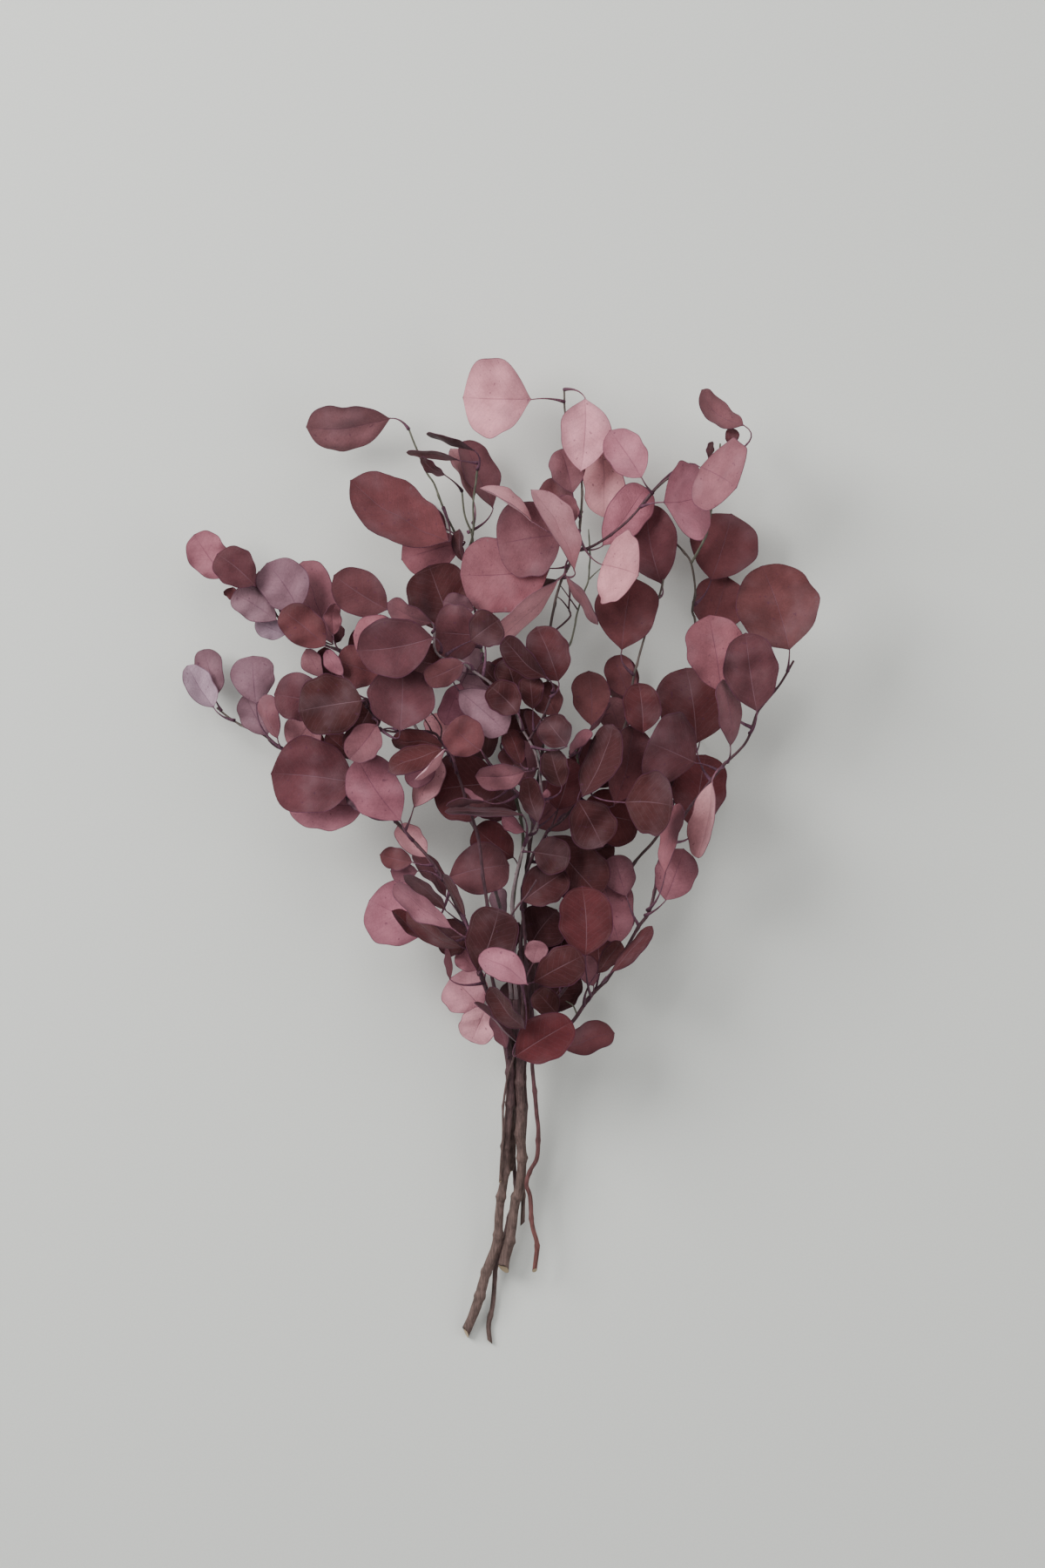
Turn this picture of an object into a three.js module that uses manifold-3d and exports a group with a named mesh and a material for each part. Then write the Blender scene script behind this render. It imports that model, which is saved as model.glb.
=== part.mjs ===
// A bunch of dried eucalyptus, lying on its back on a surface.
// Millimetres, +Z up, +Y along the bunch from the cut stems to the top leaves.
import * as THREE from 'three';
import Module from 'manifold-3d';
import { mergeVertices } from 'three/addons/utils/BufferGeometryUtils.js';

// Driving dimensions, in millimetres.
const MM_PER_PIXEL = 0.5;
const BLADE_THICKNESS = 0.7;
const STALK_WIDTH = 1.6;
const STALK_LENGTH = 13;
const SHORTEST_STALK = 5;
const FURTHEST_STALK = 38;
const STALK_SPACING = 3;
const TUBE_STEP = 18;
const THICK_TWIG = 1.7;
const TWIG_SIDES = 4;
const POINTS_PER_STEP = 5;

// Proportions of a blade, as shares of its width or length.
const NARROWEST_BLADE = 0.62;
const SHORTEST_BLADE = 0.8;
const BLADE_ROWS = [0.93, 0.68, 0.3];
const NARROW_ROWS = [0.9, 0.45];
const NARROW_LEAF = 28;
const CUP_POWER = 1.3;

// Seeded spreads, each as its least value and its range, and the steps that draw from them.
const SIDE_BEND = [-0.045, 0.09];
const ARCH = [-0.064, 0.16];
const CUP = [-0.1, 0.4];
const BASE_TAPER = [0.44, 0.2];
const TIP_TAPER = [0.34, 0.14];
const GOLDEN = 0.618034;
const SILVER = 0.414214;
const PLASTIC = 0.754878;

// Room between pieces when the leaves are laid over each other, in millimetres.
const SAMPLE = 2.5;
const BLADE_REACH = 3.8;
const STALK_REACH = 3.2;
const TWIG_REACH = 2.3;
const SURFACE_GAP = 1;
const HIGHEST = 200;
const MOST_HEIGHTS = 40;
const MOST_STARTS = 16;
const BEND = 0.6;
const LOWERING = 1.5;
const FLOOR = -100;

// Places are read by eye in the photograph, as x and y in its pixels, and depth in mm.
const MIDDLE = [574.23, 979.65];

// Leaf colours, named as in the leaf rows.
const SHADES = {
  lp: [205, 150, 152], pk: [185, 130, 134], lv: [160, 127, 140], mv: [118, 78, 86],
  rs: [160, 102, 108], rw: [131, 82, 88], rd: [125, 68, 70], br: [112, 64, 58], dk: [85, 46, 50], vd: [60, 37, 42],
};

// Twigs: stem, name, radius at both ends, and the centre line as [x, y, depth].
const TWIGS = [
  ["left_stem", "M0", 3.0, 2.2, [[534, 1536, 3.2], [543, 1514, 6], [553, 1483, 9],
    [564, 1451, 12], [570, 1431, 14], [573, 1399, 16.5], [578, 1362, 19.5], [582, 1300, 25],
    [586, 1240, 30.5], [584, 1215, 33], [576, 1185, 37], [563, 1150, 42]]],
  ["left_stem", "M", 1.6, 1.0, [[584, 1215, 33], [576, 1185, 37], [563, 1150, 42],
    [547, 1100, 48], [535, 1062, 52], [525, 1040, 54], [510, 1012, 56], [487, 978, 58], [467, 957, 58],
    [440, 930, 55], [412, 900, 50], [370, 880, 44], [326, 862, 35], [300, 843, 28],
    [280, 834, 23], [262, 824, 18], [246, 812, 13]]],
  ["left_stem", "EM", 1.5, 1.0, [[578.5, 1193, 36], [572, 1160, 46], [562, 1100, 56],
    [558, 1030, 64], [548, 960, 70], [530, 900, 74], [510, 857, 76], [496, 840, 77],
    [458, 841, 79], [436, 836, 81], [434, 828, 82], [418, 806, 84]]],
  ["upper_left_stem", "A0", 2.6, 2.1, [[585, 1350, 13.5], [587, 1321, 16], [586.5, 1279, 20.6],
    [588, 1240, 25.4], [588, 1215, 28], [587, 1150, 31]]],
  ["upper_left_stem", "A", 1.5, 1.0, [[588, 1215, 28], [587, 1150, 31], [576, 1050, 36],
    [545, 950, 42],
    [500, 870, 46], [450, 800, 48], [400, 752, 50], [374, 740, 50], [345, 722, 48],
    [322, 712, 46], [312, 697, 44], [293, 675, 41], [262, 650, 38]]],
  ["upper_left_stem", "D", 1.3, 1.0, [[581.5, 1100, 33.5], [590, 1030, 30], [600, 960, 27],
    [585, 880, 24], [560, 780, 23], [545, 700, 24], [534, 640, 26], [519, 605, 28],
    [512, 590, 28], [499, 555, 30], [489, 540, 31], [476, 510, 32], [469, 491, 33]]],
  ["upper_left_stem", "D2", 1.0, 0.9, [[534, 640, 26], [541, 625, 28], [541, 612, 30],
    [533, 590, 33], [530, 562, 36]]],
  ["upper_left_stem", "D3", 0.9, 0.9, [[532, 644, 25.7], [542, 612, 30], [543, 575, 35],
    [547, 550, 38], [549, 530, 41]]],
  ["top_stem", "F", 1.75, 1.0, [[562, 1548, 1.9], [560, 1527, 2.3], [565, 1504, 3],
    [568, 1478, 4], [571, 1451, 5.2], [582, 1415, 6.2], [591, 1380, 7], [590.5, 1350, 8.8],
    [590, 1300, 12.5], [591.5, 1240, 21.3], [592, 1215, 23.6], [596, 1150, 25], [601, 1050, 27], [611, 950, 31],
    [620, 880, 35], [628, 800, 39], [632, 728, 42], [636, 695, 43], [640, 680, 44],
    [650, 655, 45], [662, 632, 46], [667, 600, 45.5], [668, 565, 44], [666, 542, 42],
    [650, 481, 38], [648, 445, 36]]],
  ["top_stem", "G", 1.2, 1.0, [[662, 632, 46], [676, 628, 47], [692, 619, 49],
    [718, 600, 52], [735, 583, 54], [748, 567, 55], [760, 555, 56], [770, 547, 57]]],
  ["top_stem", "F2", 0.9, 0.8, [[630, 764, 40.5], [652, 742, 42], [660, 720, 43],
    [664, 700, 44], [670, 680, 45], [676, 665, 46], [678, 640, 46.7]]],
  ["top_stem", "F3", 0.9, 0.8, [[632, 728, 42], [654, 708, 43], [653, 698, 43],
    [654, 680, 43], [653, 665, 43]]],
  ["back_right_stem", "H", 1.6, 1.0, [[600, 1410, 9], [600, 1350, 13.5], [602, 1320, 16],
    [603, 1279, 20.5], [603, 1240, 26.7], [604, 1215, 27], [618, 1180, 28], [660, 1120, 30],
    [700, 1040, 32], [731, 990, 33], [758, 955, 34], [790, 880, 34], [800, 800, 33],
    [800, 718, 32], [796, 700, 32], [799, 675, 31], [795, 645, 30], [787, 632, 30],
    [777, 622, 30]]],
  ["back_right_stem", "H2", 1.0, 0.9, [[795, 645, 30], [812, 610, 32], [822, 560, 36],
    [828, 508, 40]]],
  ["back_right_stem", "J", 1.4, 1.0, [[612, 1194, 27.6], [605, 1110, 35], [600, 1030, 42],
    [610, 985, 45], [620, 970, 46], [632, 952, 47], [645, 942, 48], [665, 918, 50],
    [675, 905, 51], [690, 885, 52], [705, 860, 53], [722, 820, 54], [727, 780, 55],
    [731, 762, 55], [740, 733, 54], [755, 690, 52], [762, 665, 50]]],
  ["back_right_stem", "J2", 1.0, 0.9, [[665, 918, 50], [666, 900, 53], [664, 880, 56],
    [662, 865, 58], [660, 850, 60]]],
  ["right_stem", "I", 1.7, 1.1, [[614, 1463, 19], [616, 1433, 20], [612, 1412, 21],
    [609, 1378, 22], [604, 1363, 22.9], [608, 1347, 24], [617, 1331, 25.5],
    [619, 1302, 28], [616, 1279, 30], [612, 1240, 33], [613, 1215, 35], [628, 1195, 38],
    [656, 1175, 41], [680, 1143, 44], [700, 1120, 47], [717, 1095, 50], [732, 1065, 52],
    [745, 1048, 54], [753, 1022, 56], [757, 988, 58], [775, 960, 60], [790, 930, 62],
    [814, 898, 64], [832, 878, 66], [848, 862, 68], [858, 848, 69], [868, 820, 70],
    [877, 808, 70], [895, 787, 68], [911, 759, 64]]],
  ["centre_stem", "K0", 3.25, 2.4, [[578, 1461, 12], [579, 1451, 12.6], [586, 1420, 14.5],
    [592, 1386, 17], [598, 1360, 19], [598, 1300, 24.5], [597, 1240, 30], [597, 1215, 32.5],
    [593, 1150, 40]]],
  ["centre_stem", "K", 1.6, 1.1, [[597, 1215, 32.5], [593, 1150, 40], [589, 1045, 54], [592, 1010, 58], [600, 975, 63], [613, 955, 66],
    [618, 940, 68], [620, 926, 70], [622, 910, 72], [621, 895, 74], [619, 882, 75],
    [615, 867, 77], [607, 850, 79], [600, 838, 80]]],
  ["centre_stem", "C", 1.2, 1.0, [[600, 838, 80], [585, 805, 84], [565, 785, 87],
    [545, 772, 89], [528, 760, 90], [510, 757, 91], [500, 745, 91], [497, 716, 88],
    [462, 704, 82]]],
  ["centre_stem", "K2", 1.0, 0.9, [[607, 850, 79], [622, 825, 82], [634, 795, 84]]],
  ["centre_stem", "K3", 1.0, 0.9, [[620, 926, 70], [603, 925, 72], [595, 915, 73],
    [575, 895, 76], [560, 872, 78], [553, 862, 79]]],
  ["centre_stem", "K4", 0.9, 0.9, [[619, 882, 75], [604, 884, 78], [590, 879, 82]]],
  ["front_low_sprig", "S", 1.0, 0.9, [[574, 1360, 23.6], [575, 1336, 25.6], [577, 1308, 28],
    [578, 1276, 30.8], [582, 1240, 33.9], [590, 1215, 40], [597, 1185, 49], [600, 1150, 57],
    [598, 1120, 63], [590, 1095, 66], [584, 1065, 69], [587, 1052, 70.5], [595, 1040, 72],
    [605, 1028, 73], [616, 1010, 74]]],
];

// Leaves by twig: base x and y, tip x and y, width as seen, shade, and height over the twig.
// A negative width rolls the blade the other way. FLOOR lays it flat on the surface.
// Two last numbers, where there are any, bend the blade sideways by that share of its length, and
// set how far it tapers to its tip.
const LEAVES = {
  "M": [[410, 899, 311, 888, 90, "rd", 10], [419, 926, 329, 920, 60, "pk", -3],
    [418, 932, 402, 905, 22, "lv", 4], [461, 943, 411, 869, -62, "rs", 10],
    [475, 927, 502, 868, 32, "lp", 0], [490, 985, 456, 948, 28, "lp", -8],
    [474, 990, 436, 981, 26, "rd", 2], [480, 1000, 448, 1000, 24, "rs", 0],
    [490, 1072, 423, 1034, 76, "pk", -10], [520, 1065, 453, 1015, 24, "rs", 10],
    [531, 1087, 467, 1045, 24, "br", 8], [488, 1078, 450, 1045, 18, "br", 4],
    [512, 1045, 463, 1005, 18, "dk", 6], [512, 1030, 474, 980, 22, "rw", 4],
    [534, 1052, 510, 1002, 10, "dk", 4], [514, 1008, 585, 993, 58, "mv", -4],
    [548, 1115, 573, 1042, 60, "vd", 20], [560, 1112, 596, 1060, 30, "dk", -14],
    [548, 1115, 525, 1092, 26, "pk", -8], [517, 1125, 513, 1088, 6, "pk", 4],
    [554, 1162, 517, 1124, 58, "lp", 12], [560, 1156, 541, 1198, 42, "lp", 0],
    [582, 1205, 566, 1165, 16, "mv", 4],
    [406, 872, 374, 842, 24, "dk", 4], [243, 800, 230, 744, 34, "lv", -2],
    [243, 812, 212, 763, 32, "lv", 0], [293, 808, 289, 752, -50, "lv", 10],
    [306, 845, 280, 795, 38, "lv", 0], [318, 848, 303, 797, 24, "rw", 4],
    [332, 860, 358, 825, 44, "lp", 0], [385, 886, 325, 893, 64, "dk", FLOOR],
    [330, 862, 372, 850, 40, "dk", -12], [540, 1075, 500, 1080, 44, "vd", -14]],
  "EM": [[418, 805, 344, 817, 68, "vd", 8], [378, 806, 315, 797, 54, "mv", -16],
    [434, 832, 402, 872, 38, "rw", 0], [438, 838, 396, 862, 36, "dk", -6],
    [460, 840, 463, 768, 75, "mv", 2], [510, 857, 450, 850, 26, "dk", -2],
    [510, 860, 446, 885, 30, "dk", 2], [512, 861, 478, 896, 7, "lp", 8],
    [510, 852, 495, 820, 30, "pk", -14],
    [500, 872, 468, 900, 30, "rs", -12]],
  "A": [[258, 662, 221, 612, 46, "pk", -6], [293, 673, 249, 636, 45, "mv", 12],
    [318, 712, 268, 680, 36, "lv", 0], [277, 687, 256, 678, 12, "rd", 4],
    [328, 728, 292, 712, 26, "lv", 4], [343, 701, 306, 646, 55, "lv", 8],
    [314, 686, 296, 655, 28, "rw", 14], [381, 739, 346, 643, 48, "rs", 2],
    [383, 730, 385, 693, 20, "rs", 4], [385, 738, 392, 718, 14, "mv", 0],
    [374, 742, 323, 700, 45, "rw", 0], [372, 778, 352, 744, 20, "rw", -4],
    [440, 775, 387, 757, 50, "rw", 6], [394, 776, 376, 746, 18, "rs", 8],
    [378, 800, 372, 742, 26, "dk", -6], [432, 800, 410, 840, 36, "vd", -10], [425, 772, 425, 715, 50, "dk", -6]],
  "D": [[448, 478, 350, 489, 49, "rw", 0], [516, 621, 401, 551, 66, "rd", 6, -0.06],
    [532, 620, 460, 641, 54, "rs", -4], [545, 700, 509, 690, 28, "mv", 34],
    [512, 604, 445, 584, 54, "dk", FLOOR], [552, 735, 515, 775, 50, "rw", -8],
    [572, 830, 520, 860, 56, "vd", -6], [594, 930, 548, 905, 50, "dk", -8],
    [577, 850, 625, 830, 50, "vd", -6], [556, 765, 600, 790, 50, "vd", -4]],
  "D2": [[511, 545, 483, 524, 12, "vd", 10],
    [566, 581, 532, 503, 38, "rw", -8]],
  "D3": [[525, 527, 466, 519, 8, "rd", 4], [543, 572, 517, 512, 24, "lp", -6], [545, 517, 489, 498, 6, "vd", 10]],
  "F": [[611, 457, 531, 455, 92, "lp", 6], [672, 456, 667, 541, 62, "lp", 8, -0.03, 0.8],
    [693, 500, 696, 593, 46, "lp", -4], [658, 566, 645, 514, 42, "rw", -12],
    [660, 580, 619, 560, 42, "rd", -12], [655, 603, 645, 568, 34, "rw", -4],
    [612, 600, 551, 561, 14, "lp", 8], [646, 613, 571, 625, 90, "rw", 8],
    [660, 656, 610, 562, 34, "lp", 16], [632, 652, 528, 660, 86, "rs", -2],
    [640, 664, 575, 697, 20, "vd", 2], [641, 666, 563, 741, 24, "lp", 12, 0.06],
    [650, 662, 686, 718, 11, "rw", 10, -0.14], [691, 648, 733, 662, 86, "lp", 12],
    [612, 950, 650, 905, 60, "dk", -10]],
  "G": [[737, 549, 700, 494, 44, "pk", 0], [692, 626, 742, 558, 50, "pk", -6],
    [804, 536, 844, 561, 92, "pk", 0], [762, 577, 812, 566, 90, "rs", -15]],
  "H": [[818, 665, 842, 587, 78, "rd", -12], [817, 725, 838, 660, 62, "rd", -12],
    [806, 848, 800, 782, 62, "dk", FLOOR], [790, 880, 745, 895, 50, "vd", -10], [640, 1110, 648, 1060, 40, "vd", -4],
    [684, 1062, 727, 1042, 46, "dk", -10],
    [625, 1165, 660, 1115, 50, "vd", -6]],
  "H2": [[855, 487, 806, 446, 27, "rw", 2, -0.14], [840, 510, 842, 490, 16, "dk", 4],
    [815, 525, 818, 505, 8, "dk", 2]],
  "J": [[714, 747, 727, 662, 72, "rd", -6], [761, 670, 743, 578, 64, "mv", -8],
    [668, 915, 704, 832, 38, "vd", 6], [705, 925, 728, 832, 50, "br", -6],
    [663, 918, 692, 972, 54, "vd", -3], [716, 921, 773, 925, 74, "vd", 24],
    [738, 842, 733, 784, 42, "dk", -4], [722, 830, 715, 750, 36, "br", 2],
    [600, 1035, 650, 1000, 48, "vd", -2],
    [660, 935, 735, 945, 66, "br", -12], [702, 880, 762, 880, 60, "dk", -14],
    [628, 960, 690, 1030, 66, "vd", -14], [724, 802, 706, 752, 36, "rd", -14], [608, 1088, 640, 1045, 54, "vd", -6]],
  "J2": [[679, 834, 676, 770, 44, "rd", 6], [676, 841, 700, 806, 7, "pk", 12],
    [654, 867, 678, 838, 14, "rs", 10],
    [672, 905, 700, 855, 66, "dk", -14]],
  "I": [[906, 747, 874, 650, 96, "rd", 6], [829, 797, 814, 706, 66, "rs", -6],
    [868, 818, 855, 727, 62, "mv", 6], [838, 857, 830, 780, 28, "rw", 2],
    [800, 854, 788, 766, 85, "dk", -22], [799, 876, 744, 852, 85, "mv", 2],
    [798, 953, 811, 866, 62, "br", -20], [817, 897, 801, 985, 26, "lp", 8, -0.05],
    [763, 1004, 781, 922, 22, "rs", 8], [764, 1034, 785, 974, 46, "rs", 2],
    [701, 1116, 748, 1062, 16, "dk", 10], [685, 1118, 712, 1080, 22, "br", 4],
    [672, 1098, 668, 1017, 64, "br", 8], [711, 1085, 690, 993, 56, "rw", 0],
    [720, 1030, 705, 982, 38, "rw", -8], [682, 1133, 672, 1097, 24, "rw", 4],
    [645, 1205, 706, 1186, 34, "rd", 4]],
  "K": [[619, 862, 604, 815, 20, "rd", 2], [651, 857, 625, 824, 40, "vd", 6],
    [645, 904, 632, 860, 32, "vd", 0], [624, 926, 630, 906, 9, "pk", 6],
    [605, 895, 575, 862, 26, "rd", -2], [618, 945, 606, 892, 24, "vd", 0],
    [590, 985, 545, 950, 44, "dk", -14], [603, 955, 576, 938, 16, "pk", 2],
    [600, 935, 511, 931, 12, "vd", 8], [613, 978, 655, 985, 42, "br", 0]],
  "C": [[527, 793, 582, 842, 45, "lv", -10], [595, 820, 562, 788, 38, "vd", 10],
    [592, 792, 580, 756, 36, "vd", -6], [575, 790, 552, 762, 24, "vd", -6],
    [446, 701, 384, 661, 50, "mv", -4], [497, 716, 446, 693, 26, "rw", 2],
    [520, 768, 468, 758, 44, "dk", -24], [552, 730, 497, 726, 66, "mv", -12],
    [540, 737, 574, 712, 44, "vd", -8], [499, 733, 411, 748, 65, "mv", 12],
    [470, 735, 406, 730, 50, "rs", -8], [530, 784, 510, 832, 30, "rs", -16],
    [533, 762, 489, 782, 32, "mv", 0]],
  "K2": [[628, 779, 579, 733, 32, "vd", 4], [641, 783, 616, 720, 50, "dk", 2],
    [612, 815, 608, 776, 28, "vd", 0], [640, 822, 620, 785, 36, "rd", 0]],
  "K3": [[553, 862, 517, 830, 46, "rd", 10], [575, 900, 497, 908, 80, "dk", -20],
    [557, 920, 513, 924, 8, "rd", 6], [557, 920, 533, 905, 6, "pk", 8]],
  "K4": [[603, 886, 546, 890, 30, "rw", 6], [598, 878, 583, 837, 24, "dk", -6]],
  "S": [[603, 1180, 563, 1131, 26, "vd", 6],
    [612, 1127, 670, 1096, 46, "vd", 6], [612, 1106, 620, 1080, 28, "lp", 0],
    [606, 1129, 550, 1096, 35, "pk", 8], [640, 1165, 615, 1138, 30, "vd", -6],
    [591, 1212, 657, 1172, 54, "br", 6]],
};

// Leaves deep in the bunch, behind and between the others, in the same form.
const INNER_LEAVES = {
  "A": [[578, 1062, 572, 1018, 20, "lv", -6], [590, 1200, 586, 1128, 40, "vd", -20]],
  "D": [[533, 645, 528, 606, 14, "vd", 2], [522, 724, 492, 648, 74, "vd", 14]],
  "F": [[672, 532, 690, 494, 14, "vd", 4]],
  "J": [[612, 1160, 606, 1085, 34, "vd", -10], [660, 985, 706, 968, 40, "vd", -16],
    [716, 850, 700, 800, 34, "br", -16]],
  "I": [[690, 1115, 688, 1068, 34, "dk", -10]],
  "K": [[640, 930, 655, 870, 44, "vd", -22], [602, 905, 592, 850, 44, "mv", -26], [595, 1197, 545, 1150, 7, "mv", 6]],
  "C": [[565, 790, 528, 782, 36, "rw", -24]],
};

// A seeded draw from a spread: the same number and step always give the same value.
function draw([least, range], number, step) {
  const value = number * step;
  return least + range * (value - Math.floor(value));
}

// A photograph pixel and a depth, as a point in the bunch's own frame.
function place(x, y, depth) {
  return new THREE.Vector3((x - MIDDLE[0]) * MM_PER_PIXEL, (MIDDLE[1] - y) * MM_PER_PIXEL, depth);
}

// The twigs, with the points along each that leaves may grow from.
const twigs = TWIGS.map(([stem, name, thick, thin, line]) => {
  const path = new THREE.CatmullRomCurve3(line.map((p) => place(...p)), false, 'catmullrom', 0.5);
  const steps = Math.max(2, Math.round(path.getLength() / TUBE_STEP));
  const rings = path.getSpacedPoints(steps);
  const points = Array.from({ length: POINTS_PER_STEP * steps + 1 }, (_, k) => {
    const ring = Math.min(Math.floor(k / POINTS_PER_STEP), steps - 1);
    return rings[ring].clone().lerp(rings[ring + 1], k / POINTS_PER_STEP - ring);
  });
  return { stem, name, thick, thin, path, steps, rings, points, taken: [] };
});
const twigNamed = (name) => twigs.find((twig) => twig.name === name);

// Half of a blade's width at a share of its length: a tapered base and a blunt tip, widest at peak.
function bladeOutline(leaf, v) {
  const peak = leaf.baseTaper / (leaf.baseTaper + leaf.tipTaper);
  return (v / peak) ** leaf.baseTaper * ((1 - v) / (1 - peak)) ** leaf.tipTaper;
}

// A leaf's real size and its directions, from how it looks from above.
function makeLeaf(number, host, row) {
  const [baseX, baseY, tipX, tipY, seenWidth, shade, level] = row;
  const bend = row[7] ?? draw(SIDE_BEND, number, PLASTIC);
  const seen = place(tipX, tipY, 0).sub(place(baseX, baseY, 0));
  const seenLength = seen.length();
  const wide = Math.abs(seenWidth) * MM_PER_PIXEL;
  const flat = level === FLOOR;
  const length = flat ? seenLength : Math.max(seenLength, SHORTEST_BLADE * wide);
  const width = flat ? wide : Math.max(wide, NARROWEST_BLADE * seenLength);
  const pitch = Math.acos(seenLength / length) * (level < 0 ? -1 : 1);
  const roll = Math.acos(wide / width) * Math.sign(seenWidth) * (number % 2 ? 1 : -1);
  const flatWay = seen.clone().divideScalar(seenLength);
  const along = flatWay.clone().multiplyScalar(Math.cos(pitch));
  along.z = Math.sin(pitch);
  const levelSide = new THREE.Vector3(flatWay.y, -flatWay.x, 0);
  const levelUp = levelSide.clone().cross(along);
  const side = levelSide.clone().multiplyScalar(Math.cos(roll)).addScaledVector(levelUp, Math.sin(roll));
  const up = side.clone().cross(along);
  const arch = flat ? 0 : draw(ARCH, number, GOLDEN);
  const cup = flat ? 0 : draw(CUP, number, SILVER);
  const base = place(baseX, baseY, 0);
  const baseTaper = draw(BASE_TAPER, number, GOLDEN);
  const tipTaper = row[8] ?? draw(TIP_TAPER, number, SILVER);
  return {
    number, host, shade, level, flat, length, width, seenWidth: wide, flatWay, along, side, up,
    arch, cup, bend, base, baseTaper, tipTaper,
  };
}

// A point of a blade's middle surface: u runs across from -1 to 1, v from base to tip.
function bladePoint(leaf, u, v) {
  const half = bladeOutline(leaf, v) * leaf.width / 2;
  const hump = leaf.length * 4 * v * (1 - v);
  return leaf.base.clone()
    .addScaledVector(leaf.along, leaf.length * v)
    .addScaledVector(leaf.side, half * u + leaf.bend * hump)
    .addScaledVector(leaf.up, leaf.cup * half * Math.abs(u) ** CUP_POWER + leaf.arch * hump);
}

// Points all over a blade, no more than SAMPLE apart.
function bladeSamples(leaf) {
  const across = Math.ceil(leaf.width / SAMPLE);
  const down = Math.ceil(leaf.length / SAMPLE);
  const samples = [];
  for (let j = 0; j <= down; j += 1) {
    for (let i = 0; i <= across; i += 1) samples.push(bladePoint(leaf, 2 * i / across - 1, j / down));
  }
  return samples;
}

// Everything placed so far, as points with the room that each one keeps.
const placed = [];
for (const twig of twigs) {
  twig.points.forEach((point, i) => {
    const radius = twig.thick + (twig.thin - twig.thick) * i / (twig.points.length - 1);
    placed.push({ point, reach: radius + TWIG_REACH, stem: twig.stem });
  });
}

// How far the nearest placed point is beyond the room that it keeps.
function roomLeft(points, near) {
  let room = Infinity;
  for (const point of points) {
    for (const other of near) {
      room = Math.min(room, point.distanceTo(other.point) - other.reach);
    }
  }
  return room;
}

// The heights, in whole millimetres, at which a blade would touch a placed piece or the surface.
function blockedHeights(samples, near) {
  const blocked = new Array(HIGHEST).fill(false);
  const block = (from, to) => {
    for (let h = Math.max(0, Math.ceil(from)); h <= Math.min(HIGHEST - 1, to); h += 1) blocked[h] = true;
  };
  for (const sample of samples) {
    block(0, SURFACE_GAP - sample.z);
    for (const { point, reach } of near) {
      const apart = (sample.x - point.x) ** 2 + (sample.y - point.y) ** 2;
      if (apart < reach ** 2) {
        const half = Math.sqrt(reach ** 2 - apart);
        block(point.z - sample.z - half, point.z - sample.z + half);
      }
    }
  }
  return blocked;
}

// A stalk's line: from the twig to the blade, straight or by way of a bend behind the blade.
function stalkLine(leaf, start, bend) {
  if (bend === 0) return [start, leaf.base.clone()];
  const span = start.distanceTo(leaf.base);
  const middle = start.clone().lerp(leaf.base, 0.5)
    .lerp(leaf.base.clone().addScaledVector(leaf.along, -span * 0.5), bend);
  return [start, middle, leaf.base.clone()];
}

function stalkSamples(line) {
  const samples = [];
  for (let k = 1; k < line.length; k += 1) {
    const count = Math.ceil(line[k].distanceTo(line[k - 1]) / 2);
    for (let i = 0; i < count; i += 1) samples.push(line[k - 1].clone().lerp(line[k], (i + 0.5) / count));
  }
  return samples;
}

// The best place on the twig for a leaf's stalk, clear of other stems and of every blade.
function findStalk(leaf, near) {
  const wanted = leaf.base.clone().addScaledVector(leaf.flatWay, -STALK_LENGTH);
  const nearness = (p) => p.distanceTo(wanted);
  const isFree = (p) => leaf.host.taken.every((q) => p.distanceTo(q) > STALK_SPACING);
  const byNearness = leaf.host.points
    .filter((p) => p.distanceTo(leaf.base) > SHORTEST_STALK && isFree(p))
    .sort((p, q) => nearness(p) - nearness(q));
  const starts = byNearness.filter((p, k) => k === 0 || p.distanceTo(leaf.base) < FURTHEST_STALK);
  const others = near.filter((other) => other.stem !== leaf.host.stem);
  let best = { room: -Infinity };
  for (const start of starts.slice(0, MOST_STARTS)) {
    for (const bend of [0, BEND]) {
      const line = stalkLine(leaf, start, bend);
      const room = roomLeft(stalkSamples(line), others);
      if (room > 0) return { room, line };
      if (room > best.room) best = { room, line };
    }
  }
  return best;
}

// Lays one leaf at the free height nearest to its own, and joins it to its twig.
function layLeaf(leaf) {
  const reach = leaf.length + FURTHEST_STALK;
  const near = placed.filter(({ point }) => (
    Math.hypot(point.x - leaf.base.x, point.y - leaf.base.y) < reach));
  let heights = [BLADE_THICKNESS / 2];
  if (!leaf.flat) {
    const blocked = blockedHeights(bladeSamples(leaf), near);
    const change = (h) => (h < leaf.start ? LOWERING * (leaf.start - h) : h - leaf.start);
    heights = blocked.map((_, h) => h).filter((h) => !blocked[h])
      .sort((a, b) => change(a) - change(b)).slice(0, MOST_HEIGHTS);
  }
  let best = { room: -Infinity };
  for (const height of heights) {
    leaf.base.z = height;
    const stalk = findStalk(leaf, near);
    if (stalk.room > best.room) best = { ...stalk, height };
    if (stalk.room > 0) break;
  }
  leaf.base.z = best.height;
  leaf.room = best.room;
  leaf.stalk = best.line;
  leaf.host.taken.push(leaf.stalk[0]);
  for (const point of bladeSamples(leaf)) placed.push({ point, reach: BLADE_REACH });
  for (const point of stalkSamples(leaf.stalk)) {
    placed.push({ point, reach: STALK_REACH, stem: leaf.host.stem });
  }
}

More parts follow.
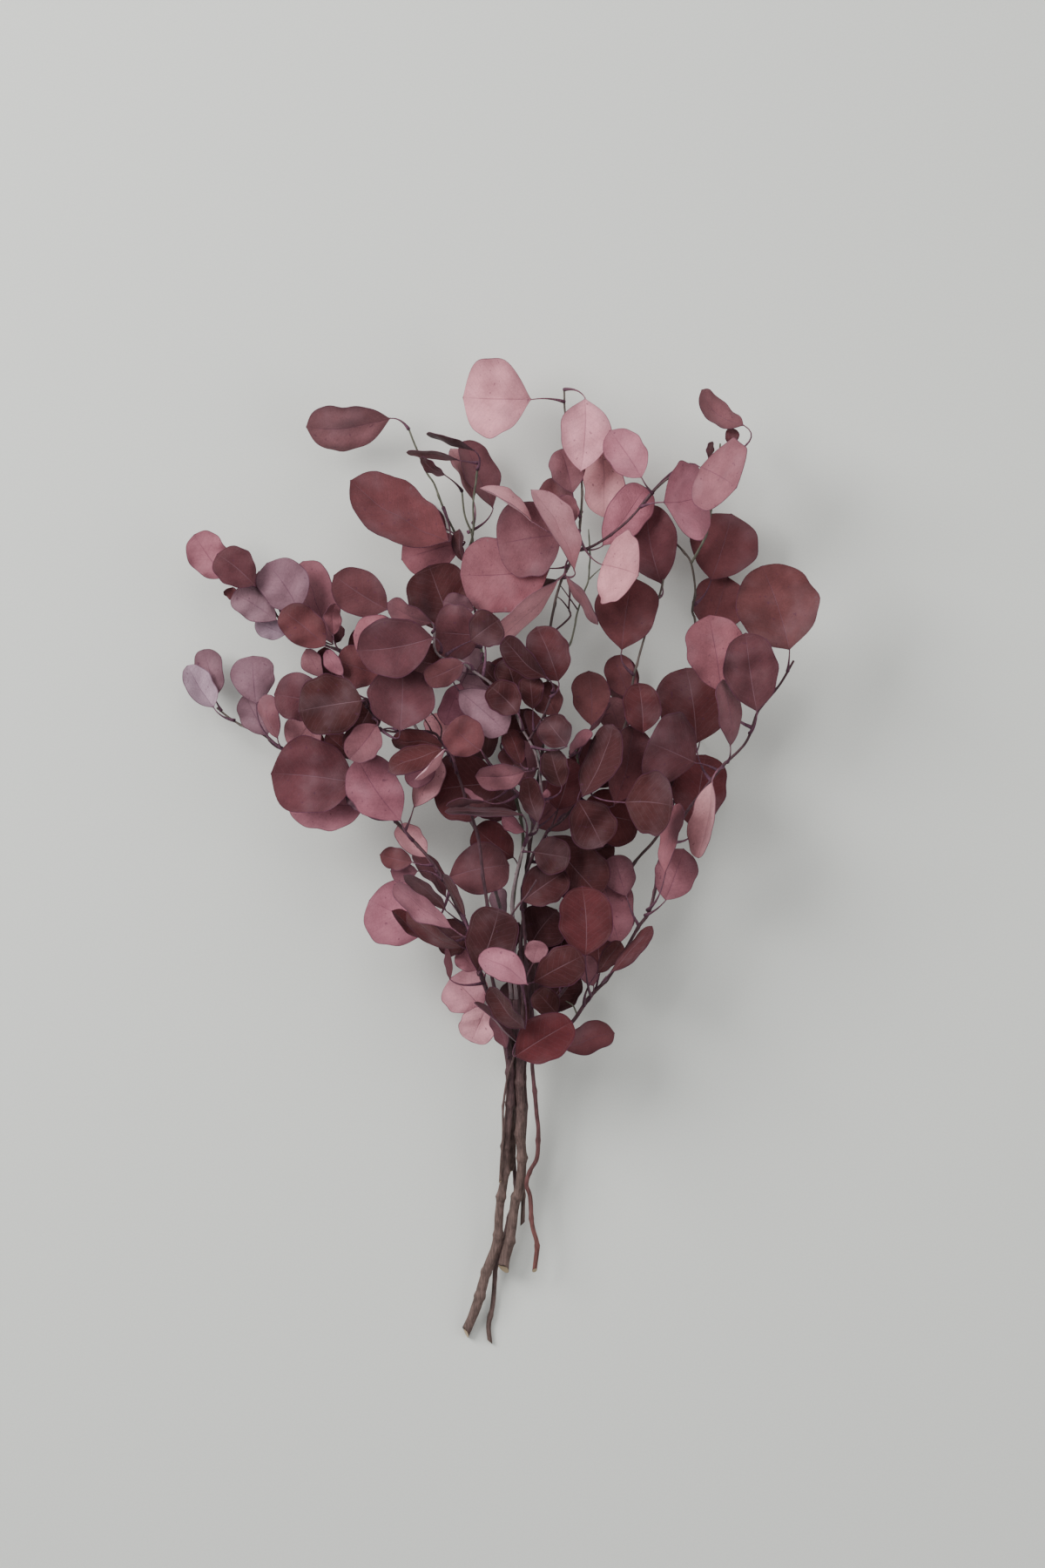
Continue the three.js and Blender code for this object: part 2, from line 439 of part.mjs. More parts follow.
// Every leaf, laid from the lowest to the highest.
const leaves = [];
for (const [name, rows] of [...Object.entries(LEAVES), ...Object.entries(INNER_LEAVES)]) {
  const host = twigNamed(name);
  for (const row of rows) {
    const leaf = makeLeaf(leaves.length + 1, host, row);
    const behind = leaf.base.clone().addScaledVector(leaf.flatWay, -STALK_LENGTH);
    const away = (p) => Math.hypot(p.x - behind.x, p.y - behind.y);
    const nearest = host.points.reduce((a, b) => (away(a) <= away(b) ? a : b));
    leaf.start = leaf.flat ? FLOOR : nearest.z + leaf.level;
    leaves.push(leaf);
  }
}
const layingOrder = [...leaves].sort((a, b) => a.start - b.start || a.number - b.number);
layingOrder.forEach(layLeaf);

// Solids: manifold-3d joins each stem's twigs and leaves into one body.
const wasm = await Module();
wasm.setup();

function toSolid(geometry) {
  const bare = geometry.clone();
  bare.deleteAttribute('normal');
  bare.deleteAttribute('uv');
  const merged = mergeVertices(bare, 1e-5);
  const faces = [];
  for (let k = 0; k < merged.index.count; k += 3) {
    const [a, b, c] = merged.index.array.slice(k, k + 3);
    if (a !== b && b !== c && c !== a) faces.push(a, b, c);
  }
  return new wasm.Manifold(new wasm.Mesh({
    numProp: 3,
    vertProperties: new Float32Array(merged.attributes.position.array),
    triVerts: new Uint32Array(faces),
  }));
}

// A closed thin sheet: two like faces on a grid, and a rim. Its rows run from tip to base.
function sheetSolid(rows) {
  const columns = rows[0].points.length;
  const grid = new THREE.PlaneGeometry(1, 1, columns - 1, rows.length - 1);
  const count = rows.length * columns;
  const corners = new Float32Array(count * 2 * 3);
  rows.forEach(({ points, offsets }, j) => points.forEach((point, i) => {
    const at = j * columns + i;
    point.clone().add(offsets[i]).toArray(corners, at * 3);
    point.clone().sub(offsets[i]).toArray(corners, (count + at) * 3);
  }));
  const faces = [...grid.index.array];
  for (let k = 0; k < grid.index.count; k += 3) {
    const [a, b, c] = grid.index.array.slice(k, k + 3);
    faces.push(count + a, count + c, count + b);
  }
  const last = rows.length - 1;
  const rim = [];
  for (let i = 0; i < columns - 1; i += 1) rim.push(last * columns + i);
  for (let j = last; j > 0; j -= 1) rim.push(j * columns + columns - 1);
  for (let i = columns - 1; i > 0; i -= 1) rim.push(i);
  for (let j = 0; j < last; j += 1) rim.push(j * columns);
  rim.forEach((p, k) => {
    const q = rim[(k + 1) % rim.length];
    faces.push(count + p, count + q, q, count + p, q, p);
  });
  const geometry = new THREE.BufferGeometry();
  geometry.setAttribute('position', new THREE.BufferAttribute(corners, 3));
  geometry.setIndex(faces);
  return toSolid(geometry);
}

// A leaf: its stalk and its blade in one thin sheet.
function leafSolid(leaf) {
  const half = leaf.up.clone().multiplyScalar(BLADE_THICKNESS / 2);
  const narrow = leaf.seenWidth < NARROW_LEAF;
  const rows = (narrow ? NARROW_ROWS : BLADE_ROWS).map((v, k) => ({
    points: [-1, 0, 1].map((u) => bladePoint(leaf, u, k === 0 && u === 0 ? 1 : v)),
    offsets: [half, half, half],
  }));
  const stalk = [...leaf.stalk].reverse();
  stalk.forEach((point, k) => {
    const next = stalk[Math.min(k + 1, stalk.length - 1)];
    const before = stalk[Math.max(k - 1, 0)];
    const way = k === 0 ? leaf.along : before.clone().sub(next).normalize();
    const across = leaf.side.clone().addScaledVector(way, -leaf.side.dot(way)).normalize();
    const points = [-1, 0, 1].map((u) => point.clone().addScaledVector(across, u * STALK_WIDTH / 2));
    const ridge = across.clone().cross(way).multiplyScalar(STALK_WIDTH / 2);
    if (k > 0) points[1].add(ridge);
    const edge = new THREE.Vector3();
    rows.push({ points, offsets: k === 0 ? [half, half, half] : [edge, ridge, edge] });
  });
  return sheetSolid(rows);
}

// A tapered tube along a twig, with fewer sides on a thin one.
function twigSolid(twig) {
  const sides = twig.thick > THICK_TWIG ? 5 : TWIG_SIDES;
  const corner = (k) => 2 * Math.PI * k / sides;
  const section = new THREE.Shape(Array.from({ length: sides }, (_, k) => (
    new THREE.Vector2(Math.cos(corner(k)), Math.sin(corner(k))))));
  const tube = new THREE.ExtrudeGeometry(section, {
    steps: twig.steps, extrudePath: twig.path, bevelEnabled: false,
  });
  const centres = twig.rings;
  const position = tube.attributes.position;
  const corners = new THREE.Vector3();
  for (let i = 0; i < position.count; i += 1) {
    corners.fromBufferAttribute(position, i);
    let nearest = 0;
    centres.forEach((centre, k) => {
      if (centre.distanceTo(corners) < centres[nearest].distanceTo(corners)) nearest = k;
    });
    const radius = twig.thick + (twig.thin - twig.thick) * nearest / twig.steps;
    corners.sub(centres[nearest]).multiplyScalar(radius).add(centres[nearest]);
    position.setXYZ(i, corners.x, corners.y, corners.z);
  }
  return toSolid(tube);
}

// The mean colour of a stem's leaves.
function stemColour(stemLeaves) {
  const mean = [0, 1, 2].map((k) => (
    stemLeaves.reduce((sum, leaf) => sum + SHADES[leaf.shade][k], 0) / stemLeaves.length / 255));
  return new THREE.Color().setRGB(...mean, THREE.SRGBColorSpace);
}

function stemMesh(stem) {
  const stemLeaves = leaves.filter((leaf) => leaf.host.stem === stem);
  const pieces = twigs.filter((twig) => twig.stem === stem).map(twigSolid);
  pieces.push(...stemLeaves.map(leafSolid));
  const joined = pieces.reduce((whole, piece) => whole.add(piece)).getMesh();
  const geometry = new THREE.BufferGeometry();
  geometry.setAttribute('position', new THREE.BufferAttribute(joined.vertProperties, 3));
  geometry.setIndex(new THREE.BufferAttribute(joined.triVerts, 1));
  geometry.computeVertexNormals();
  const material = new THREE.MeshStandardMaterial({
    color: stemColour(stemLeaves), roughness: 0.75, metalness: 0, flatShading: true,
  });
  const mesh = new THREE.Mesh(geometry, material);
  mesh.name = stem;
  return mesh;
}

const group = new THREE.Group();
for (const stem of new Set(twigs.map((twig) => twig.stem))) group.add(stemMesh(stem));

export default group;
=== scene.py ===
"""A bunch of dried eucalyptus: fine leaves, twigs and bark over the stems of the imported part."""
import math
from functools import lru_cache
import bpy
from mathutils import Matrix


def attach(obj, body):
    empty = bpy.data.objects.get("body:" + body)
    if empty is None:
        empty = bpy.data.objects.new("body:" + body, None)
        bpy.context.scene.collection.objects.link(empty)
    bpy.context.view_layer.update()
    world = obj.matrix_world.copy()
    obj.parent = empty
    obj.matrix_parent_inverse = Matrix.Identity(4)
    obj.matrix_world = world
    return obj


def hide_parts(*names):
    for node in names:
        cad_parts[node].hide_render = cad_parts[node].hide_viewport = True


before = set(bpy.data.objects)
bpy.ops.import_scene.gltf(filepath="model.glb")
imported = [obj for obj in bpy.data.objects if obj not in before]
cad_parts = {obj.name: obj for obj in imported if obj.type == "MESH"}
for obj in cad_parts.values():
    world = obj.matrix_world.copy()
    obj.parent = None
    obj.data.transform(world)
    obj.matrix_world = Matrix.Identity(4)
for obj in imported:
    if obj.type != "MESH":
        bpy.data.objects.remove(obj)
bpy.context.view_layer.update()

from types import SimpleNamespace

import bpy
import numpy as np
from mathutils import Vector

bl_info = {
    "name": "Dried Eucalyptus Bunch",
    "version": (1, 0, 0),
    "blender": (4, 5, 0),
    "location": "View3D > Sidebar > Eucalyptus",
    "description": "Builds the leaves, twigs and stems of a dried eucalyptus bunch",
    "category": "Add Mesh",
}

METRE = 0.001  # metres in a millimetre
TURN = 2 * math.pi

# The part's driving dimensions, in millimetres.
MM_PER_PIXEL = 0.5
BLADE_THICKNESS = 0.7
STALK_LENGTH = 13
SHORTEST_STALK = 5
FURTHEST_STALK = 38
STALK_SPACING = 3
TUBE_STEP = 18

# The parts that a curve's length is measured in, and a step's points that leaves may grow from.
LENGTH_PARTS = 200
POINTS_PER_STEP = 5

# Proportions of a blade: shares of its width or length, and the power that its cup rises by.
NARROWEST_BLADE = 0.62
SHORTEST_BLADE = 0.8
CUP_POWER = 1.3

# Seeded spreads, each as its least value and its range, and the steps that draw from them.
SIDE_BEND = -0.045, 0.09
ARCH = -0.064, 0.16
CUP = -0.1, 0.4
BASE_TAPER = 0.44, 0.2
TIP_TAPER = 0.34, 0.14
GOLDEN = 0.618034
SILVER = 0.414214
PLASTIC = 0.754878

# Room between pieces when the leaves are laid over each other, in millimetres.
SAMPLE = 2.5
BLADE_REACH = 3.8
STALK_REACH = 3.2
TWIG_REACH = 2.3
FURTHEST_REACH = 6
SURFACE_GAP = 1
HIGHEST = 200
STALK_SAMPLE = 2
MOST_HEIGHTS = 40  # heights tried for a blade
MOST_STARTS = 16  # points of the twig tried for its stalk
BEND = 0.6  # how far a bent stalk is drawn to the blade's own way
LOWERING = 1.5  # what a step down counts against a step up
FLOOR = -100  # stands for the height of a leaf that lies flat
BLADE = -1  # stands for the stem of a point on a blade, which every stalk keeps clear of

# The mesh of a blade in millimetres, and the shares and spreads (least, most) of its shape.
BLADE_COLUMNS = 15
BLADE_LINES = 33
COLUMN_POWER = 1.35  # over 1, so that the columns crowd towards the middle
LEAST_HALF = 0.35
BASE_POINT = 0.05, 0.12
TIP_POINT = 0.004, 0.05
RIPPLES = 1.2, 3.2
HALF_SHARE = 0.96, 1.06
FLAT_SHARE = 0.25
LEAST_SHARE = 0.35
WAVES = 1.2, 2.6
WAVE_SHARE = 0.5, 1.3
VEIN_SLANT = 0.75
PLEAT_SPACING = 8, 13
PLEAT_SHARE = 0.3, 1
FOLDS = 3
FOLD_SPACING = 15, 30
TIP_CURL = -1.6, 1.8
CURL_START = 0.72
RIB_WIDTH = 0.8
RIB_TAPER = 0.7
RIB_END = 12  # the rib fades out over the last twelfth of the blade
MARGIN_THINNING = 0.35
TIP_MARGIN = 0.8

# How a blade's tint varies, and the grey that its underside turns to. The fades along the blade and
# to its margin are partly its own colour and partly painted shade; the fade across makes one half
# lighter than the other, a painted shade of a fold along the rib.
SHADE_SPREAD = 0.07
HUE_SPREAD = 0.022
FADE_ALONG = -0.3, 0.3
FADE_TO_MARGIN = -0.1, 0.14
PAINTED_SHADE_ACROSS = -0.12, 0.12
UNDERSIDE_GREY = 150, 128, 132
UNDERSIDE_TINT_SHARE = 0.7
UNDERSIDE_GREY_SHARE = 0.42

# The mesh of a twig: sides and ridges, rings at its ends, joints, and where its bark changes.
THICK_TWIG = 2
THICK_MESH = 14, 0.10
THIN_MESH = 10, 0.05
LEAST_RINGS = 6
RIDGE_COUNTS = 2, 3, 5
RIDGE_DRIFT = 0.04
CUT_RINGS = 0.02, 0.5, 0.96
END_RINGS = (0.75, 0.45), (0.02, 0.75)  # share of the radius, and how far out it lies
BASE_RADII = 1.0, 1.7, 2.4  # radii in the part, and the shares kept of the last two
BASE_SHARES = 0.8, 0.97
TIP_RADII = 1.0, 2.2  # the same at the tip, the first share on top of the slimness setting
TIP_SHARES = 0.82, 0.95
JOINT_SPACING = 14, 30
MOST_JOINTS = 60
LAST_JOINT = 3
JOINT_REACH = 1.6
UNEVEN_SHARE = 0.05
UNEVEN_SPACING = 3.1, 7.7
MOST_PHASE = 6
ZIGZAG = 0.5
REST_ROOM = 1.15
TIP_SLOPE, TIP_START = 2.2, 0.9
BARE_TIP, LEAFY_TIP = 0.9, 0.5
FOOT_LENGTH = 150
NAME_PRIMES = 7919, 31  # make a seed from the letters of a twig's name

# The mesh of a stalk: how far it bends and sways, its end inside the blade, and its tint.
STALK_SEED = 500
STALK_PARTS = 9
STALK_SIDES = 6
PULL_SHARE, MOST_PULL = 0.8, 6
SWAY_SHARE, MOST_SWAY = 0.16, 3
STALK_INSIDE, STALK_UNDER = 1.2, 0.15
STALK_FLARE = 1.45
STALK_THINNING = 0.3
STALK_SPREAD = 0.12
STALK_SHADE = 0.3

# The picture: the photograph's size in pixels, and in mm the height that is at its own scale and
# the camera's sensor. Then, in metres, where the lights aim and how far the floor reaches.
PHOTO = 1200, 1800
MIDDLE_DEPTH = 60
SENSOR = 36
AIM = 0, 0, 0.05
FLOOR_RADIUS = 6
FLOOR_CORNERS = 64

# Lights: name, setting of its power, place and size in metres, and tint.
LIGHTS = (
    ("left_light", "side_light", (-1.5, 0.9, 1.5), 1.3, (1.0, 0.99, 0.98)),
    ("right_light", "fill_light", (1.6, -0.1, 1.3), 1.6, (1.0, 0.97, 0.94)),
    ("top_light", "top_light", (0.0, 1.6, 2.6), 1.8, (1.0, 1.0, 1.0)),
)

# Names of the leaf shades. Besides the leaves' own colours the shades hold painted light and shade:
# pale ones stand partly for lit blades, the darkest for blades that lie in shadow.
SHADE_NAMES = {
    "lp": "pale_pink", "pk": "pink", "ll": "pale_lavender", "lv": "lavender", "mv": "mauve",
    "rs": "rose", "rw": "old_rose", "rd": "red", "br": "brown", "dk": "dark", "vd": "darkest",
}

# The bark of each twig that isn't plum, and of its tip and its foot where they differ.
BARKS = {
    "M0": "woody", "A0": "woody", "K0": "woody", "K": "pale", "C": "pale", "A": "pale",
    "D": "green", "D2": "green", "D3": "green", "F2": "green", "H2": "green", "J2": "green",
    "F2 tip": "green", "F2 side": "green", "I side": "green",
}
TIP_BARKS = {"M": "green", "H": "green", "J": "green", "F": "green", "G": "green"}
FOOT_BARKS = {"I": "reddish", "F": "woody", "H": "woody", "S": "woody"}

# The way that each stem's cut end leans, in radians round the stem.
CUT_LEANS = {
    "left_stem": 2.6, "upper_left_stem": 0.4, "top_stem": 3.0, "back_right_stem": 0.0,
    "right_stem": 1.2, "centre_stem": 2.2, "front_low_sprig": 0.9,
}

# Places are read off the photograph, as x and y in its pixels. Each depth, in mm, is a guess.
MIDDLE = 574.23, 979.65  # the middle of the part's box, over the origin

# Twigs by stem: name, radius at both ends, and the centre line as [x, y, depth].
TWIGS = {
    "left_stem": [
        ["M0", 3.0, 2.2, [[534, 1536, 3.2], [543, 1514, 6], [553, 1483, 9], [564, 1451, 12],
            [570, 1431, 14], [573, 1399, 16.5], [578, 1362, 19.5], [582, 1300, 25],
            [586, 1240, 30.5], [584, 1215, 33], [576, 1185, 37], [563, 1150, 42]]],
        ["M", 1.6, 1.0, [[584, 1215, 33], [576, 1185, 37], [563, 1150, 42], [547, 1100, 48],
            [535, 1062, 52], [525, 1040, 54], [510, 1012, 56], [487, 978, 58], [467, 957, 58],
            [440, 930, 55], [412, 900, 50], [370, 880, 44], [326, 862, 35], [300, 843, 28],
            [280, 834, 23], [262, 824, 18], [246, 812, 13]]],
        ["EM", 1.5, 1.0, [[578.5, 1193, 36], [572, 1160, 46], [562, 1100, 56], [558, 1030, 64],
            [548, 960, 70], [530, 900, 74], [510, 857, 76], [496, 840, 77], [458, 841, 79],
            [436, 836, 81], [434, 828, 82], [418, 806, 84]]],
    ],
    "upper_left_stem": [
        ["A0", 2.6, 2.1, [[585, 1350, 13.5], [587, 1321, 16], [586.5, 1279, 20.6],
            [588, 1240, 25.4], [588, 1215, 28], [587, 1150, 31]]],
        ["A", 1.5, 1.0, [[588, 1215, 28], [587, 1150, 31], [576, 1050, 36], [545, 950, 42],
            [500, 870, 46], [450, 800, 48], [400, 752, 50], [374, 740, 50], [345, 722, 48],
            [322, 712, 46], [312, 697, 44], [293, 675, 41], [262, 650, 38]]],
        ["D", 1.3, 1.0, [[581.5, 1100, 33.5], [590, 1030, 30], [600, 960, 27], [585, 880, 24],
            [560, 780, 23], [545, 700, 24], [534, 640, 26], [519, 605, 28], [512, 590, 28],
            [499, 555, 30], [489, 540, 31], [476, 510, 32], [469, 491, 33]]],
        ["D2", 1.0, 0.9, [[534, 640, 26], [541, 625, 28], [541, 612, 30], [533, 590, 33],
            [530, 562, 36]]],
        ["D3", 0.9, 0.9, [[532, 644, 25.7], [542, 612, 30], [543, 575, 35], [547, 550, 38],
            [549, 530, 41]]],
    ],
    "top_stem": [
        ["F", 1.75, 1.0, [[562, 1548, 1.9], [560, 1527, 2.3], [565, 1504, 3], [568, 1478, 4],
            [571, 1451, 5.2], [582, 1415, 6.2], [591, 1380, 7], [590.5, 1350, 8.8],
            [590, 1300, 12.5], [591.5, 1240, 21.3], [592, 1215, 23.6], [596, 1150, 25],
            [601, 1050, 27], [611, 950, 31], [620, 880, 35], [628, 800, 39], [632, 728, 42],
            [636, 695, 43], [640, 680, 44], [650, 655, 45], [662, 632, 46], [667, 600, 45.5],
            [668, 565, 44], [666, 542, 42], [650, 481, 38], [648, 445, 36]]],
        ["G", 1.2, 1.0, [[662, 632, 46], [676, 628, 47], [692, 619, 49], [718, 600, 52],
            [735, 583, 54], [748, 567, 55], [760, 555, 56], [770, 547, 57]]],
        ["F2", 0.9, 0.8, [[630, 764, 40.5], [652, 742, 42], [660, 720, 43], [664, 700, 44],
            [670, 680, 45], [676, 665, 46], [678, 640, 46.7]]],
        ["F3", 0.9, 0.8, [[632, 728, 42], [654, 708, 43], [653, 698, 43], [654, 680, 43],
            [653, 665, 43]]],
    ],
    "back_right_stem": [
        ["H", 1.6, 1.0, [[600, 1410, 9], [600, 1350, 13.5], [602, 1320, 16], [603, 1279, 20.5],
            [603, 1240, 26.7], [604, 1215, 27], [618, 1180, 28], [660, 1120, 30], [700, 1040, 32],
            [731, 990, 33], [758, 955, 34], [790, 880, 34], [800, 800, 33], [800, 718, 32],
            [796, 700, 32], [799, 675, 31], [795, 645, 30], [787, 632, 30], [777, 622, 30]]],
        ["H2", 1.0, 0.9, [[795, 645, 30], [812, 610, 32], [822, 560, 36], [828, 508, 40]]],
        ["J", 1.4, 1.0, [[612, 1194, 27.6], [605, 1110, 35], [600, 1030, 42], [610, 985, 45],
            [620, 970, 46], [632, 952, 47], [645, 942, 48], [665, 918, 50], [675, 905, 51],
            [690, 885, 52], [705, 860, 53], [722, 820, 54], [727, 780, 55], [731, 762, 55],
            [740, 733, 54], [755, 690, 52], [762, 665, 50]]],
        ["J2", 1.0, 0.9, [[665, 918, 50], [666, 900, 53], [664, 880, 56], [662, 865, 58],
            [660, 850, 60]]],
    ],
    "right_stem": [
        ["I", 1.7, 1.1, [[614, 1463, 19], [616, 1433, 20], [612, 1412, 21], [609, 1378, 22],
            [604, 1363, 22.9], [608, 1347, 24], [617, 1331, 25.5], [619, 1302, 28], [616, 1279, 30],
            [612, 1240, 33], [613, 1215, 35], [628, 1195, 38], [656, 1175, 41], [680, 1143, 44],
            [700, 1120, 47], [717, 1095, 50], [732, 1065, 52], [745, 1048, 54], [753, 1022, 56],
            [757, 988, 58], [775, 960, 60], [790, 930, 62], [814, 898, 64], [832, 878, 66],
            [848, 862, 68], [858, 848, 69], [868, 820, 70], [877, 808, 70], [895, 787, 68],
            [911, 759, 64]]],
    ],
    "centre_stem": [
        ["K0", 3.25, 2.4, [[578, 1461, 12], [579, 1451, 12.6], [586, 1420, 14.5], [592, 1386, 17],
            [598, 1360, 19], [598, 1300, 24.5], [597, 1240, 30], [597, 1215, 32.5],
            [593, 1150, 40]]],
        ["K", 1.6, 1.1, [[597, 1215, 32.5], [593, 1150, 40], [589, 1045, 54], [592, 1010, 58],
            [600, 975, 63], [613, 955, 66], [618, 940, 68], [620, 926, 70], [622, 910, 72],
            [621, 895, 74], [619, 882, 75], [615, 867, 77], [607, 850, 79], [600, 838, 80]]],
        ["C", 1.2, 1.0, [[600, 838, 80], [585, 805, 84], [565, 785, 87], [545, 772, 89],
            [528, 760, 90], [510, 757, 91], [500, 745, 91], [497, 716, 88], [462, 704, 82]]],
        ["K2", 1.0, 0.9, [[607, 850, 79], [622, 825, 82], [634, 795, 84]]],
        ["K3", 1.0, 0.9, [[620, 926, 70], [603, 925, 72], [595, 915, 73], [575, 895, 76],
            [560, 872, 78], [553, 862, 79]]],
        ["K4", 0.9, 0.9, [[619, 882, 75], [604, 884, 78], [590, 879, 82]]],
    ],
    "front_low_sprig": [
        ["S", 1.0, 0.9, [[574, 1360, 23.6], [575, 1336, 25.6], [577, 1308, 28], [578, 1276, 30.8],
            [582, 1240, 33.9], [590, 1215, 40], [597, 1185, 49], [600, 1150, 57], [598, 1120, 63],
            [590, 1095, 66], [584, 1065, 69], [587, 1052, 70.5], [595, 1040, 72], [605, 1028, 73],
            [616, 1010, 74]]],
    ],
}

# Fine side twigs that bear no leaf, in the same form.
FINE_TWIGS = {
    "top_stem": [
        ["F2 tip", 0.8, 0.5, [[678, 640, 46.7], [677, 622, 47], [676, 607, 47]]],
        ["F2 side", 0.7, 0.5, [[676, 665, 46], [683, 658, 46], [690, 652, 46]]],
        ["F2 low", 0.7, 0.5, [[664, 700, 44], [650, 680, 44], [644, 672, 44]]],
        ["F3 side", 0.7, 0.5, [[653, 698, 43], [645, 688, 43], [638, 683, 42]]],
    ],
    "left_stem": [
        ["EM side", 0.7, 0.5, [[506, 850, 76], [507, 836, 77], [500, 824, 78], [491, 815, 79]]],
        ["EM tip", 0.7, 0.5, [[496, 840, 77], [492, 832, 78], [486, 823, 79]]],
    ],
    "back_right_stem": [
        ["J side", 0.8, 0.5, [[632, 952, 47], [637, 940, 48], [642, 925, 50], [646, 905, 52]]],
    ],
    "right_stem": [
        ["I side", 0.8, 0.5, [[663, 1166, 42], [661, 1161, 42], [658, 1155, 42], [650, 1150, 43]]],
    ],
}
